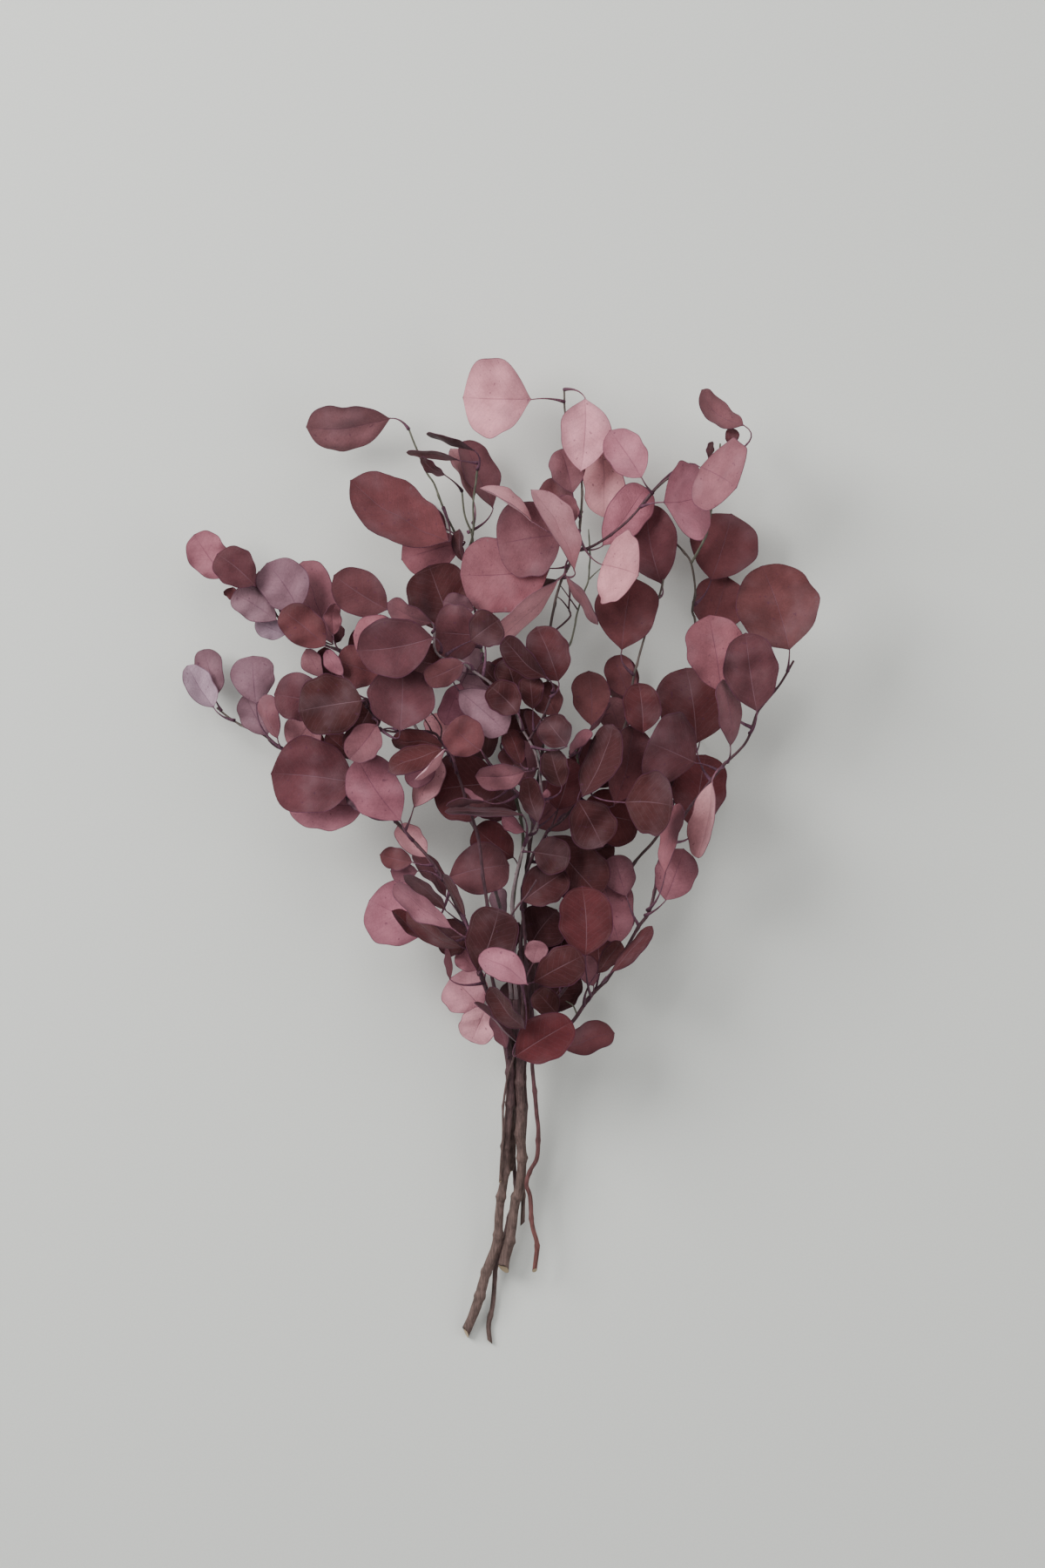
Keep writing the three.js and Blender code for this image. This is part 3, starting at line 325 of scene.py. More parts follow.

# Leaves by twig: base x and y, tip x and y, width as seen, shade, and height over the twig.
# A leaf's shade is partly its own colour and partly painted light and shade: paler for lit leaves,
# darker for leaves in shadow.
# A negative width rolls the other way. FLOOR lays the blade flat on the surface.
# Two last numbers, where there are any, bend the blade sideways by that share of its length, and
# set how far it tapers to its tip.
LEAVES = {
    "M": [[410, 899, 311, 888, 90, "mv", 10], [419, 926, 329, 920, 60, "pk", -3],
        [418, 932, 402, 905, 22, "lv", 4], [461, 943, 411, 869, -62, "rs", 10],
        [475, 927, 502, 868, 32, "lp", 0], [490, 985, 456, 948, 28, "lp", -8],
        [474, 990, 436, 981, 26, "rd", 2], [480, 1000, 448, 1000, 24, "rs", 0],
        [490, 1072, 423, 1034, 76, "pk", -10], [520, 1065, 453, 1015, 24, "pk", 10],
        [531, 1087, 467, 1045, 24, "br", 8], [488, 1078, 450, 1045, 18, "br", 4],
        [512, 1045, 463, 1005, 18, "dk", 6], [512, 1030, 474, 980, 22, "rw", 4],
        [534, 1052, 510, 1002, 10, "dk", 4], [514, 1008, 585, 993, 58, "mv", -4],
        [548, 1115, 573, 1042, 60, "vd", 20], [560, 1112, 596, 1060, 30, "dk", -14],
        [548, 1115, 525, 1092, 26, "pk", -8], [517, 1125, 513, 1088, 6, "pk", 4],
        [554, 1162, 517, 1124, 58, "lp", 12], [560, 1156, 541, 1198, 42, "lp", 0],
        [582, 1205, 566, 1165, 16, "mv", 4], [406, 872, 374, 842, 24, "dk", 4],
        [243, 800, 230, 744, 34, "lv", -2], [243, 812, 212, 763, 32, "ll", 0],
        [293, 808, 289, 752, -50, "lv", 10], [306, 845, 280, 795, 38, "lv", 0],
        [318, 848, 303, 797, 24, "rw", 4], [332, 860, 358, 825, 44, "lp", 0],
        [385, 886, 325, 893, 64, "dk", FLOOR], [330, 862, 372, 850, 40, "dk", -12],
        [540, 1075, 500, 1080, 44, "vd", -14]],
    "EM": [[418, 805, 344, 817, 68, "vd", 8], [378, 806, 315, 797, 54, "mv", -16],
        [434, 832, 402, 872, 38, "rw", 0], [438, 838, 396, 862, 36, "dk", -6],
        [460, 840, 463, 768, 75, "mv", 2], [510, 857, 450, 850, 26, "dk", -2],
        [510, 860, 446, 885, 30, "dk", 2], [512, 861, 478, 896, 7, "lp", 8],
        [510, 852, 495, 820, 30, "lp", -14], [500, 872, 468, 900, 30, "rs", -12]],
    "A": [[258, 662, 221, 612, 46, "pk", -6], [293, 673, 249, 636, 45, "mv", 12],
        [318, 712, 268, 680, 36, "lv", 0], [277, 687, 256, 678, 12, "rd", 4],
        [328, 728, 292, 712, 26, "ll", 4], [343, 701, 306, 646, 55, "lv", 8],
        [314, 686, 296, 655, 28, "rw", 14], [381, 739, 346, 643, 48, "rs", 2],
        [383, 730, 385, 693, 20, "rs", 4], [385, 738, 392, 718, 14, "mv", 0],
        [374, 742, 323, 700, 45, "rd", 0], [372, 778, 352, 744, 20, "rw", -4],
        [440, 775, 387, 757, 50, "rd", 6], [394, 776, 376, 746, 18, "rs", 8],
        [378, 800, 372, 742, 26, "dk", -6], [432, 800, 410, 840, 36, "vd", -10],
        [425, 772, 425, 715, 50, "dk", -6]],
    "D": [[448, 478, 350, 489, 49, "rw", 0], [516, 621, 401, 551, 66, "rd", 6, -0.06],
        [532, 620, 460, 641, 54, "rs", -4], [545, 700, 509, 690, 28, "mv", 34],
        [512, 604, 445, 584, 54, "dk", FLOOR], [552, 735, 515, 775, 50, "lv", -8],
        [572, 830, 520, 860, 56, "vd", -6], [594, 930, 548, 905, 50, "dk", -8],
        [577, 850, 625, 830, 50, "vd", -6], [556, 765, 600, 790, 50, "vd", -4]],
    "D2": [[511, 545, 483, 524, 12, "vd", 10], [566, 581, 532, 503, 38, "rw", -8]],
    "D3": [[525, 527, 466, 519, 8, "rd", 4], [543, 572, 517, 512, 24, "lp", -6],
        [545, 517, 489, 498, 6, "vd", 10]],
    "F": [[611, 457, 531, 455, 92, "lp", 6], [672, 456, 667, 541, 62, "lp", 8, -0.03, 0.8],
        [693, 500, 696, 593, 46, "lp", -4], [658, 566, 645, 514, 42, "rw", -12],
        [660, 580, 619, 560, 42, "rd", -12], [655, 603, 645, 568, 34, "rw", -4],
        [612, 600, 551, 561, 14, "lp", 8], [646, 613, 571, 625, 90, "rw", 8],
        [660, 656, 610, 562, 34, "lp", 16], [632, 652, 528, 660, 86, "rs", -2],
        [640, 664, 575, 697, 20, "vd", 2], [641, 666, 563, 741, 24, "lp", 12, 0.06],
        [650, 662, 686, 718, 11, "rw", 10, -0.14], [691, 648, 733, 662, 86, "lp", 12],
        [612, 950, 650, 905, 60, "rw", -10]],
    "G": [[737, 549, 700, 494, 44, "pk", 0], [692, 626, 742, 558, 50, "pk", -6],
        [804, 536, 844, 561, 92, "rs", 0], [762, 577, 812, 566, 90, "pk", -15]],
    "H": [[818, 665, 842, 587, 78, "rd", -12], [817, 725, 838, 660, 62, "rd", -12],
        [806, 848, 800, 782, 62, "dk", FLOOR], [790, 880, 745, 895, 50, "vd", -10],
        [640, 1110, 648, 1060, 40, "vd", -4], [684, 1062, 727, 1042, 46, "dk", -10],
        [625, 1165, 660, 1115, 50, "vd", -6]],
    "H2": [[855, 487, 806, 446, 27, "rw", 2, -0.14], [840, 510, 842, 490, 16, "dk", 4],
        [815, 525, 818, 505, 8, "dk", 2]],
    "J": [[714, 747, 727, 662, 72, "rd", -6], [761, 670, 743, 578, 64, "mv", -8],
        [668, 915, 704, 832, 38, "vd", 6], [705, 925, 728, 832, 50, "rd", -6],
        [663, 918, 692, 972, 54, "vd", -3], [716, 921, 773, 925, 74, "vd", 24],
        [738, 842, 733, 784, 42, "dk", -4], [722, 830, 715, 750, 36, "br", 2],
        [600, 1035, 650, 1000, 48, "vd", -2], [660, 935, 735, 945, 66, "br", -12],
        [702, 880, 762, 880, 60, "dk", -14], [628, 960, 690, 1030, 66, "vd", -14],
        [724, 802, 706, 752, 36, "rd", -14], [608, 1088, 640, 1045, 54, "vd", -6]],
    "J2": [[679, 834, 676, 770, 44, "rd", 6], [676, 841, 700, 806, 7, "pk", 12],
        [654, 867, 678, 838, 14, "rs", 10], [672, 905, 700, 855, 66, "dk", -14]],
    "I": [[906, 747, 874, 650, 96, "rd", 6], [829, 797, 814, 706, 66, "rs", -6],
        [868, 818, 855, 727, 62, "mv", 6], [838, 857, 830, 780, 28, "rw", 2],
        [800, 854, 788, 766, 85, "dk", -22], [799, 876, 744, 852, 85, "mv", 2],
        [798, 953, 811, 866, 62, "br", -20], [817, 897, 801, 985, 26, "lp", 8, -0.05],
        [763, 1004, 781, 922, 22, "rs", 8], [764, 1034, 785, 974, 46, "rs", 2],
        [701, 1116, 748, 1062, 16, "dk", 10], [685, 1118, 712, 1080, 22, "br", 4],
        [672, 1098, 668, 1017, 64, "br", 8], [711, 1085, 690, 993, 56, "rs", 0],
        [720, 1030, 705, 982, 38, "rw", -8], [682, 1133, 672, 1097, 24, "rw", 4],
        [645, 1205, 706, 1186, 34, "rd", 4]],
    "K": [[619, 862, 604, 815, 20, "rd", 2], [651, 857, 625, 824, 40, "vd", 6],
        [645, 904, 632, 860, 32, "vd", 0], [624, 926, 630, 906, 9, "pk", 6],
        [605, 895, 575, 862, 26, "rd", -2], [618, 945, 606, 892, 24, "vd", 0],
        [590, 985, 545, 950, 44, "dk", -14], [603, 955, 576, 938, 16, "pk", 2],
        [600, 935, 511, 931, 12, "vd", 8], [613, 978, 655, 985, 42, "vd", 0]],
    "C": [[527, 793, 582, 842, 45, "lv", -10], [595, 820, 562, 788, 38, "vd", 10],
        [592, 792, 580, 756, 36, "vd", -6], [575, 790, 552, 762, 24, "vd", -6],
        [446, 701, 384, 661, 50, "mv", -4], [497, 716, 446, 693, 26, "rw", 2],
        [520, 768, 468, 758, 44, "dk", -24], [552, 730, 497, 726, 66, "mv", -12],
        [540, 737, 574, 712, 44, "vd", -8], [499, 733, 411, 748, 65, "mv", 12],
        [470, 735, 406, 730, 50, "rs", -8], [530, 784, 510, 832, 30, "pk", -16],
        [533, 762, 489, 782, 32, "mv", 0]],
    "K2": [[628, 779, 579, 733, 32, "vd", 4], [641, 783, 616, 720, 50, "dk", 2],
        [612, 815, 608, 776, 28, "vd", 0], [640, 822, 620, 785, 36, "rd", 0]],
    "K3": [[553, 862, 517, 830, 46, "rd", 10], [575, 900, 497, 908, 80, "dk", -20],
        [557, 920, 513, 924, 8, "rd", 6], [557, 920, 533, 905, 6, "pk", 8]],
    "K4": [[603, 886, 546, 890, 30, "rw", 6], [598, 878, 583, 837, 24, "dk", -6]],
    "S": [[603, 1180, 563, 1131, 26, "vd", 6], [612, 1127, 670, 1096, 46, "vd", 6],
        [612, 1106, 620, 1080, 28, "lp", 0], [606, 1129, 550, 1096, 35, "pk", 8],
        [640, 1165, 615, 1138, 30, "vd", -6], [591, 1212, 657, 1172, 54, "br", 6]],
}

# Leaves deep in the bunch, behind and between the others, in the same form. Most are in the
# darkest shade, partly painted shade; the narrow dark ones on D and F stand only for slits of
# shade between leaves.
INNER_LEAVES = {
    "A": [[578, 1062, 572, 1018, 20, "lv", -6], [590, 1200, 586, 1128, 40, "vd", -20]],
    "D": [[533, 645, 528, 606, 14, "vd", 2], [522, 724, 492, 648, 74, "vd", 14]],
    "F": [[672, 532, 690, 494, 14, "vd", 4]],
    "J": [[612, 1160, 606, 1085, 34, "vd", -10], [660, 985, 706, 968, 40, "vd", -16],
        [716, 850, 700, 800, 34, "rw", -16]],
    "I": [[690, 1115, 688, 1068, 34, "dk", -10]],
    "K": [[640, 930, 655, 870, 44, "dk", -22], [602, 905, 592, 850, 44, "rw", -26],
        [595, 1197, 545, 1150, 7, "mv", 6]],
    "C": [[565, 790, 528, 782, 36, "lv", -24]],
}


def place(x, y, depth=0.0):
    """A photograph pixel and a depth, as millimetres in the part's own frame."""
    return np.array([(x - MIDDLE[0]) * MM_PER_PIXEL, (MIDDLE[1] - y) * MM_PER_PIXEL, depth])


def distances(points, others):
    """The distance from each point to each of the others."""
    return np.linalg.norm(points[:, None] - others[None], axis=2)


def unit(vectors):
    """The vectors at length one."""
    return vectors / np.maximum(np.linalg.norm(vectors, axis=-1, keepdims=True), 1e-9)


def smooth_path(knots):
    """A curve through the knots, as a function of t from 0 to 1.

    From knot b to knot c it is b + m w + (3(c - b) - 2m - n) w^2 + (2(b - c) + m + n) w^3, where m
    and n are half the step between the neighbours of b and of c, and w runs from 0 to 1.
    """
    run_on = np.vstack([2 * knots[:1] - knots[1:2], knots, 2 * knots[-1:] - knots[-2:-1]])

    def at(t):
        share = np.clip(t, 0, 1) * (len(knots) - 1)
        k = np.minimum(share.astype(int), len(knots) - 2)
        w = (share - k)[:, None]
        a, b, c, d = (run_on[k + i] for i in range(4))
        m, n = (c - a) / 2, (d - b) / 2
        return b + m * w + (3 * (c - b) - 2 * m - n) * w**2 + (2 * (b - c) + m + n) * w**3

    return at


def path_lengths(path):
    """The length run at each of many even steps of t."""
    t = np.linspace(0, 1, LENGTH_PARTS + 1)
    chords = np.linalg.norm(np.diff(path(t), axis=0), axis=1)
    return t, np.concatenate([[0], np.cumsum(chords)])


def evenly(path, steps):
    """Points at equal distances along a path."""
    t, run = path_lengths(path)
    return path(np.interp(np.linspace(0, 1, steps + 1) * run[-1], run, t))


def make_twig(stem, name, thick, thin, line):
    """A twig's path, with the points along its tube that leaves may grow from."""
    path = smooth_path(np.array([place(*knot) for knot in line], float))
    length = path_lengths(path)[1][-1]
    steps = max(2, int(length / TUBE_STEP + 0.5))
    rings = evenly(path, steps)
    at = np.arange(POINTS_PER_STEP * steps + 1) / POINTS_PER_STEP
    ring = np.minimum(at.astype(int), steps - 1)
    points = rings[ring] + (rings[ring + 1] - rings[ring]) * (at - ring)[:, None]
    return SimpleNamespace(stem=stem, name=name, thick=thick, thin=thin, path=path, length=length,
                           points=points, taken=[])


def outline(v, base_taper, tip_taper):
    """Half of a blade's width: (v / p)^b ((1 - v) / (1 - p))^t, widest at p = b / (b + t)."""
    peak = base_taper / (base_taper + tip_taper)
    return (v / peak) ** base_taper * ((1 - v) / (1 - peak)) ** tip_taper


def drawn(spread, number, step):
    """A seeded draw from a spread: the same number and step always give the same value."""
    least, span = spread
    return least + span * (number * step % 1)


def make_leaf(number, host, row):
    """A leaf's real size and its directions, from how it looks from above."""
    base_x, base_y, tip_x, tip_y, seen_width, shade, level = row[:7]
    bend = row[7] if len(row) > 7 else drawn(SIDE_BEND, number, PLASTIC)
    seen = place(tip_x, tip_y) - place(base_x, base_y)
    seen_length = np.linalg.norm(seen)
    wide = abs(seen_width) * MM_PER_PIXEL
    flat = level == FLOOR
    length = seen_length if flat else max(seen_length, SHORTEST_BLADE * wide)
    width = wide if flat else max(wide, NARROWEST_BLADE * seen_length)
    pitch = math.acos(seen_length / length) * (-1 if level < 0 else 1)
    roll = math.acos(wide / width) * math.copysign(1, seen_width) * (1 if number % 2 else -1)
    flat_way = seen / seen_length
    along = flat_way * math.cos(pitch) + np.array([0, 0, math.sin(pitch)])
    level_side = np.array([flat_way[1], -flat_way[0], 0])
    side = level_side * math.cos(roll) + np.cross(level_side, along) * math.sin(roll)
    arch = 0 if flat else drawn(ARCH, number, GOLDEN)
    cup = 0 if flat else drawn(CUP, number, SILVER)
    return SimpleNamespace(
        number=number, host=host, shade=shade, level=level, flat=flat, length=length, width=width,
        flat_way=flat_way, along=along, side=side, up=np.cross(side, along), arch=arch, cup=cup,
        bend=bend, base=place(base_x, base_y), base_taper=drawn(BASE_TAPER, number, GOLDEN),
        tip_taper=row[8] if len(row) > 8 else drawn(TIP_TAPER, number, SILVER))


def blade_samples(leaf):
    """Points all over a blade of half width h and length L, with q = 4v(1 - v).

    Each is base + along L v + side (h u + bend L q) + up (cup h |u|^1.3 + arch L q).
    """
    u = np.linspace(-1, 1, math.ceil(leaf.width / SAMPLE) + 1)[None]
    v = np.linspace(0, 1, math.ceil(leaf.length / SAMPLE) + 1)[:, None]
    half = outline(v, leaf.base_taper, leaf.tip_taper) * leaf.width / 2
    hump = leaf.length * 4 * v * (1 - v)
    out, down = half * u + leaf.bend * hump, leaf.length * v
    rise = leaf.cup * half * abs(u) ** CUP_POWER + leaf.arch * hump
    down, out, rise = (a.ravel()[:, None] for a in np.broadcast_arrays(down, out, rise))
    return leaf.base + leaf.along * down + leaf.side * out + leaf.up * rise


def stalk_samples(line):
    """Points along a stalk's straight lengths, no more than STALK_SAMPLE apart."""
    samples = []
    for start, end in zip(line[:-1], line[1:]):
        count = math.ceil(np.linalg.norm(end - start) / STALK_SAMPLE)
        share = (np.arange(count)[:, None] + 0.5) / count
        samples.append(start + (end - start) * share)
    return np.vstack(samples)


def free_heights(samples, points, reaches, start):
    """The whole heights at which a blade is clear, those nearest to its own height first.

    A sample at plan distance d from a point of reach r is blocked from -s to s round that point's
    height, where s^2 = r^2 - d^2.
    """
    low, high = samples.min(0) - FURTHEST_REACH, samples.max(0) + FURTHEST_REACH
    close = ((points[:, :2] > low[:2]) & (points[:, :2] < high[:2])).all(1)
    points, reaches = points[close], reaches[close]
    spare = reaches**2 - ((samples[:, None, :2] - points[None, :, :2]) ** 2).sum(2)
    which, near = np.nonzero(spare > 0)
    half = np.sqrt(spare[which, near])
    middle = points[near, 2] - samples[which, 2]
    lows = np.maximum(0, np.concatenate([np.ceil(middle - half), np.zeros(len(samples))]))
    highs = np.concatenate([np.floor(middle + half), np.floor(SURFACE_GAP - samples[:, 2])])
    highs = np.minimum(HIGHEST - 1, highs)
    spans = lows <= highs
    marks = np.zeros(HIGHEST + 1)
    np.add.at(marks, lows[spans].astype(int), 1)
    np.add.at(marks, highs[spans].astype(int) + 1, -1)
    heights = np.nonzero(np.cumsum(marks)[:HIGHEST] == 0)[0]
    change = np.where(heights < start, LOWERING * (start - heights), heights - start)
    return heights[np.argsort(change, kind="stable")][:MOST_HEIGHTS]


def find_stalk(leaf, points, reaches):
    """The best line from the twig to the blade, clear of other stems and of every blade."""
    host = leaf.host.points
    span = np.linalg.norm(host - leaf.base, axis=1)
    taken = np.array(leaf.host.taken).reshape(-1, 3)
    usable = (span > SHORTEST_STALK) & (distances(host, taken) > STALK_SPACING).all(1)
    host, span = host[usable], span[usable]
    wanted = leaf.base - leaf.flat_way * STALK_LENGTH
    order = np.argsort(np.linalg.norm(host - wanted, axis=1), kind="stable")
    starts = [host[k] for rank, k in enumerate(order) if rank == 0 or span[k] < FURTHEST_STALK]
    best = (-math.inf, None)
    for start in starts[:MOST_STARTS]:
        for bend in (0, BEND):
            line = [start, leaf.base.copy()]
            if bend:
                behind = leaf.base - leaf.along * (np.linalg.norm(start - leaf.base) / 2)
                line.insert(1, (start + leaf.base) / 2 * (1 - bend) + behind * bend)
            room = (distances(stalk_samples(line), points) - reaches).min(initial=math.inf)
            if room > 0:
                return room, line
            if room > best[0]:
                best = (room, line)
    return best


@lru_cache(maxsize=1)
def bunch():
    """All twigs, and all leaves laid from the lowest to the highest at the nearest free height."""
    twigs = [make_twig(stem, *row) for stem, rows in TWIGS.items() for row in rows]
    by_name = {twig.name: twig for twig in twigs}
    stems = list(TWIGS)
    points = np.vstack([twig.points for twig in twigs])
    reaches = np.concatenate([
        np.linspace(twig.thick, twig.thin, len(twig.points)) + TWIG_REACH for twig in twigs])
    owners = np.repeat([stems.index(twig.stem) for twig in twigs], [len(t.points) for t in twigs])
    leaves = []
    for name, rows in (*LEAVES.items(), *INNER_LEAVES.items()):
        for row in rows:
            leaf = make_leaf(len(leaves) + 1, by_name[name], row)
            behind = leaf.base - leaf.flat_way * STALK_LENGTH
            away = np.hypot(*(leaf.host.points[:, :2] - behind[:2]).T)
            nearest = leaf.host.points[np.argmin(away)]
            leaf.start = FLOOR if leaf.flat else nearest[2] + leaf.level
            leaves.append(leaf)
    for leaf in sorted(leaves, key=lambda leaf: (leaf.start, leaf.number)):
        owner = stems.index(leaf.host.stem)
        plan = np.hypot(*(points[:, :2] - leaf.base[:2]).T)
        near = plan < leaf.length + FURTHEST_STALK
        others = near & (owners != owner)
        heights = [BLADE_THICKNESS / 2]
        if not leaf.flat:
            heights = free_heights(blade_samples(leaf), points[near], reaches[near], leaf.start)
        best = (-math.inf, None, None)
        for height in heights:
            leaf.base[2] = height
            room, line = find_stalk(leaf, points[others], reaches[others])
            if room > best[0]:
                best = (room, line, height)
            if room > 0:
                break
        leaf.stalk, leaf.base[2] = best[1:]
        leaf.host.taken.append(leaf.stalk[0])
        blade, stalk = blade_samples(leaf), stalk_samples(leaf.stalk)
        points = np.vstack([points, blade, stalk])
        reaches = np.concatenate([
            reaches, np.full(len(blade), BLADE_REACH), np.full(len(stalk), STALK_REACH)])
        owners = np.concatenate([owners, np.full(len(blade), BLADE), np.full(len(stalk), owner)])
    return stems, twigs, leaves


def linear(red, green, blue):
    """A colour given as 0 to 255 on screen, as the light that it stands for."""
    value = np.array([red, green, blue]) / 255
    return tuple(np.where(value <= 0.04045, value / 12.92, ((value + 0.055) / 1.055) ** 2.4))


def placed(name, data, spot=(0, 0, 0)):
    """A new object in the scene."""
    made = bpy.data.objects.new(name, data)
    made.location = spot
    bpy.context.scene.collection.objects.link(made)
    return made


class Surface:
    """Grids gathered into one mesh, with their attributes."""

    def __init__(self):
        self.points, self.faces, self.sharp, self.fields, self.count = [], [], [], {}, 0

    def add(self, points, faces, sharp=(), **fields):
        """Takes points in millimetres, faces of four corners, edges to keep sharp, and fields."""
        self.points.append(points)
        self.faces.append(faces + self.count)
        self.sharp.append(np.asarray(sharp, int).reshape(-1, 2) + self.count)
        for name, values in fields.items():
            self.fields.setdefault(name, []).append(np.broadcast_to(values, (len(points), 3)))
        self.count += len(points)

    def build(self, name, material):
        """Makes the object, with its place in its mesh and smooth faces."""
        faces = np.vstack(self.faces)
        mesh = bpy.data.meshes.new(name)
        mesh.from_pydata((np.vstack(self.points) * METRE).tolist(), [], faces.tolist())
        for field, values in self.fields.items():
            made = mesh.attributes.new(field, "FLOAT_VECTOR", "POINT")
            made.data.foreach_set("vector", np.vstack(values).astype(np.float32).ravel())
        mesh.polygons.foreach_set("use_smooth", np.ones(len(mesh.polygons), bool))
        ends = np.empty(len(mesh.edges) * 2, int)
        mesh.edges.foreach_get("vertices", ends)
        key = np.sort(ends.reshape(-1, 2), axis=1) @ [self.count, 1]
        wanted = np.sort(np.vstack(self.sharp), axis=1) @ [self.count, 1]
        marks = mesh.attributes.new("sharp_edge", "BOOLEAN", "EDGE")
        marks.data.foreach_set("value", np.isin(key, wanted))
        mesh.materials.append(material)
        mesh.validate()
        return placed(name, mesh)


def blade_shape(leaf, draw, settings):
    """The two grid parameters of a blade, its half width and its rise.

    The half width is the outline with a slow ripple on each side, drawn in to a point at both ends
    by 1 - exp(-v / c). The rise is that of the part's blade, with pleats along the side veins that
    grow as u, a wave that grows as u^2 towards the margin, a few slow folds and a curled tip.
    """
    spread = np.linspace(-1, 1, BLADE_COLUMNS)
    u = (np.sign(spread) * abs(spread) ** COLUMN_POWER)[None]
    v = (1 - np.cos(np.pi * np.linspace(0, 1, BLADE_LINES)))[:, None] / 2
    pointed = 1 - np.exp(-v / draw.uniform(*BASE_POINT))
    pointed = pointed * (1 - np.exp((v - 1) / draw.uniform(*TIP_POINT)))
    middle = np.sin(np.pi * v)
    sides = []
    for _ in range(2):
        count, phase = draw.uniform(*RIPPLES), draw.uniform(0, TURN)
        ripple = settings.outline_ripple * np.sin(TURN * count * v + phase) * middle
        share = draw.uniform(*HALF_SHARE) + ripple
        sides.append(outline(v, leaf.base_taper, leaf.tip_taper) * share)
    half = np.maximum(np.where(u < 0, *sides) * pointed * leaf.width / 2, LEAST_HALF)
    amount = FLAT_SHARE if leaf.flat else max(LEAST_SHARE, abs(leaf.up[2]))
    rise = leaf.cup * half * abs(u) ** CUP_POWER + leaf.arch * leaf.length * 4 * v * (1 - v)
    for sign in (-1, 1):
        here = amount * (u * sign > 0) * middle
        count, phase = draw.uniform(*WAVES), draw.uniform(0, TURN)
        wave = settings.margin_wave * draw.uniform(*WAVE_SHARE) * np.sin(TURN * count * v + phase)
        pleat = (leaf.length * v - VEIN_SLANT * half * abs(u)) * TURN / draw.uniform(*PLEAT_SPACING)
        pleat = np.sin(pleat + draw.uniform(0, TURN)) * draw.uniform(*PLEAT_SHARE)
        rise = rise + here * (u**2 * wave + abs(u) * settings.pleat_height * pleat)
    for _ in range(FOLDS):
        turn, phase = draw.uniform(0, TURN), draw.uniform(0, TURN)
        flow = half * u * math.cos(turn) + leaf.length * v * math.sin(turn)
        fold = np.sin(flow * TURN / draw.uniform(*FOLD_SPACING) + phase)
        rise = rise + settings.fold_height * amount * fold * middle
    curl = np.clip((v - CURL_START) / (1 - CURL_START), 0, 1) ** 2
    rise = rise + draw.uniform(*TIP_CURL) * amount * curl
    if leaf.flat:
        rise = rise - rise.min() + settings.rib_height
    return u, v, half, rise


def add_blade(surface, leaf, settings):
    """A blade: two like faces a thickness apart, joined round the margin, and a ridge for its rib.

    The rib is rib_height exp(-(x / w)^2) (1 - t v), with w RIB_WIDTH and t RIB_TAPER, sunk by half
    of that on top and raised underneath.
    """
    draw = np.random.default_rng(leaf.number)
    u, v, half, rise = np.broadcast_arrays(*blade_shape(leaf, draw, settings))
    across, down = half * u, leaf.length * v
    sideways = across + leaf.bend * leaf.length * 4 * v * (1 - v)
    middle = (leaf.base + leaf.along * down[..., None] + leaf.side * sideways[..., None]
              + leaf.up * rise[..., None])
    rib = settings.rib_height * np.exp(-(across / RIB_WIDTH) ** 2) * (1 - RIB_TAPER * v)
    rib = rib * np.minimum(1, RIB_END * (1 - v))
    thin = settings.blade_thickness / 2 * (1 - MARGIN_THINNING * abs(u))
    top = middle + leaf.up * (thin - rib / 2)[..., None]
    bottom = middle - leaf.up * (thin + rib)[..., None]
    count = u.size
    index = np.arange(count).reshape(u.shape)
    cells = np.stack([index[:-1, :-1], index[:-1, 1:], index[1:, 1:], index[1:, :-1]], -1)
    cells = cells.reshape(-1, 4)
    rim = np.concatenate([index[0, :-1], index[:-1, -1], index[-1, :0:-1], index[:0:-1, 0]])
    after = np.roll(rim, -1)
    walls = np.stack([rim + count, after + count, after, rim], -1)
    faces = np.vstack([cells, cells[:, ::-1] + count, walls])
    margin = np.stack([rim, after], -1)
    edge = np.minimum((1 - abs(u)) * half, (1 - v) * leaf.length * TIP_MARGIN)
    blade = np.stack([across, down, edge], -1).reshape(-1, 3)
    shade = np.array(getattr(settings, SHADE_NAMES[leaf.shade]))
    shade = shade * np.exp(draw.normal(0, SHADE_SPREAD)) * np.exp(draw.normal(0, HUE_SPREAD, 3))
    # The tint fades along the blade and to its margin, partly its own colour and partly painted
    # shade, and one half is made lighter than the other: painted shade of a fold along the rib.
    tone_and_painted_shade = 1 + draw.uniform(*FADE_ALONG) * (v - 0.5) + draw.uniform(*FADE_TO_MARGIN) * u**2
    tone_and_painted_shade = tone_and_painted_shade + draw.uniform(*PAINTED_SHADE_ACROSS) * u
    tint = (shade * tone_and_painted_shade[..., None]).reshape(-1, 3)
    grey = np.array(linear(*UNDERSIDE_GREY))
    grey = grey * tint.mean() / grey.mean()
    under = tint * UNDERSIDE_TINT_SHARE + grey * UNDERSIDE_GREY_SHARE
    surface.add(
        np.vstack([top.reshape(-1, 3), bottom.reshape(-1, 3)]), faces,
        np.vstack([margin, margin + count]),
        blade=np.vstack([blade, blade]), tint=np.vstack([tint, under]))


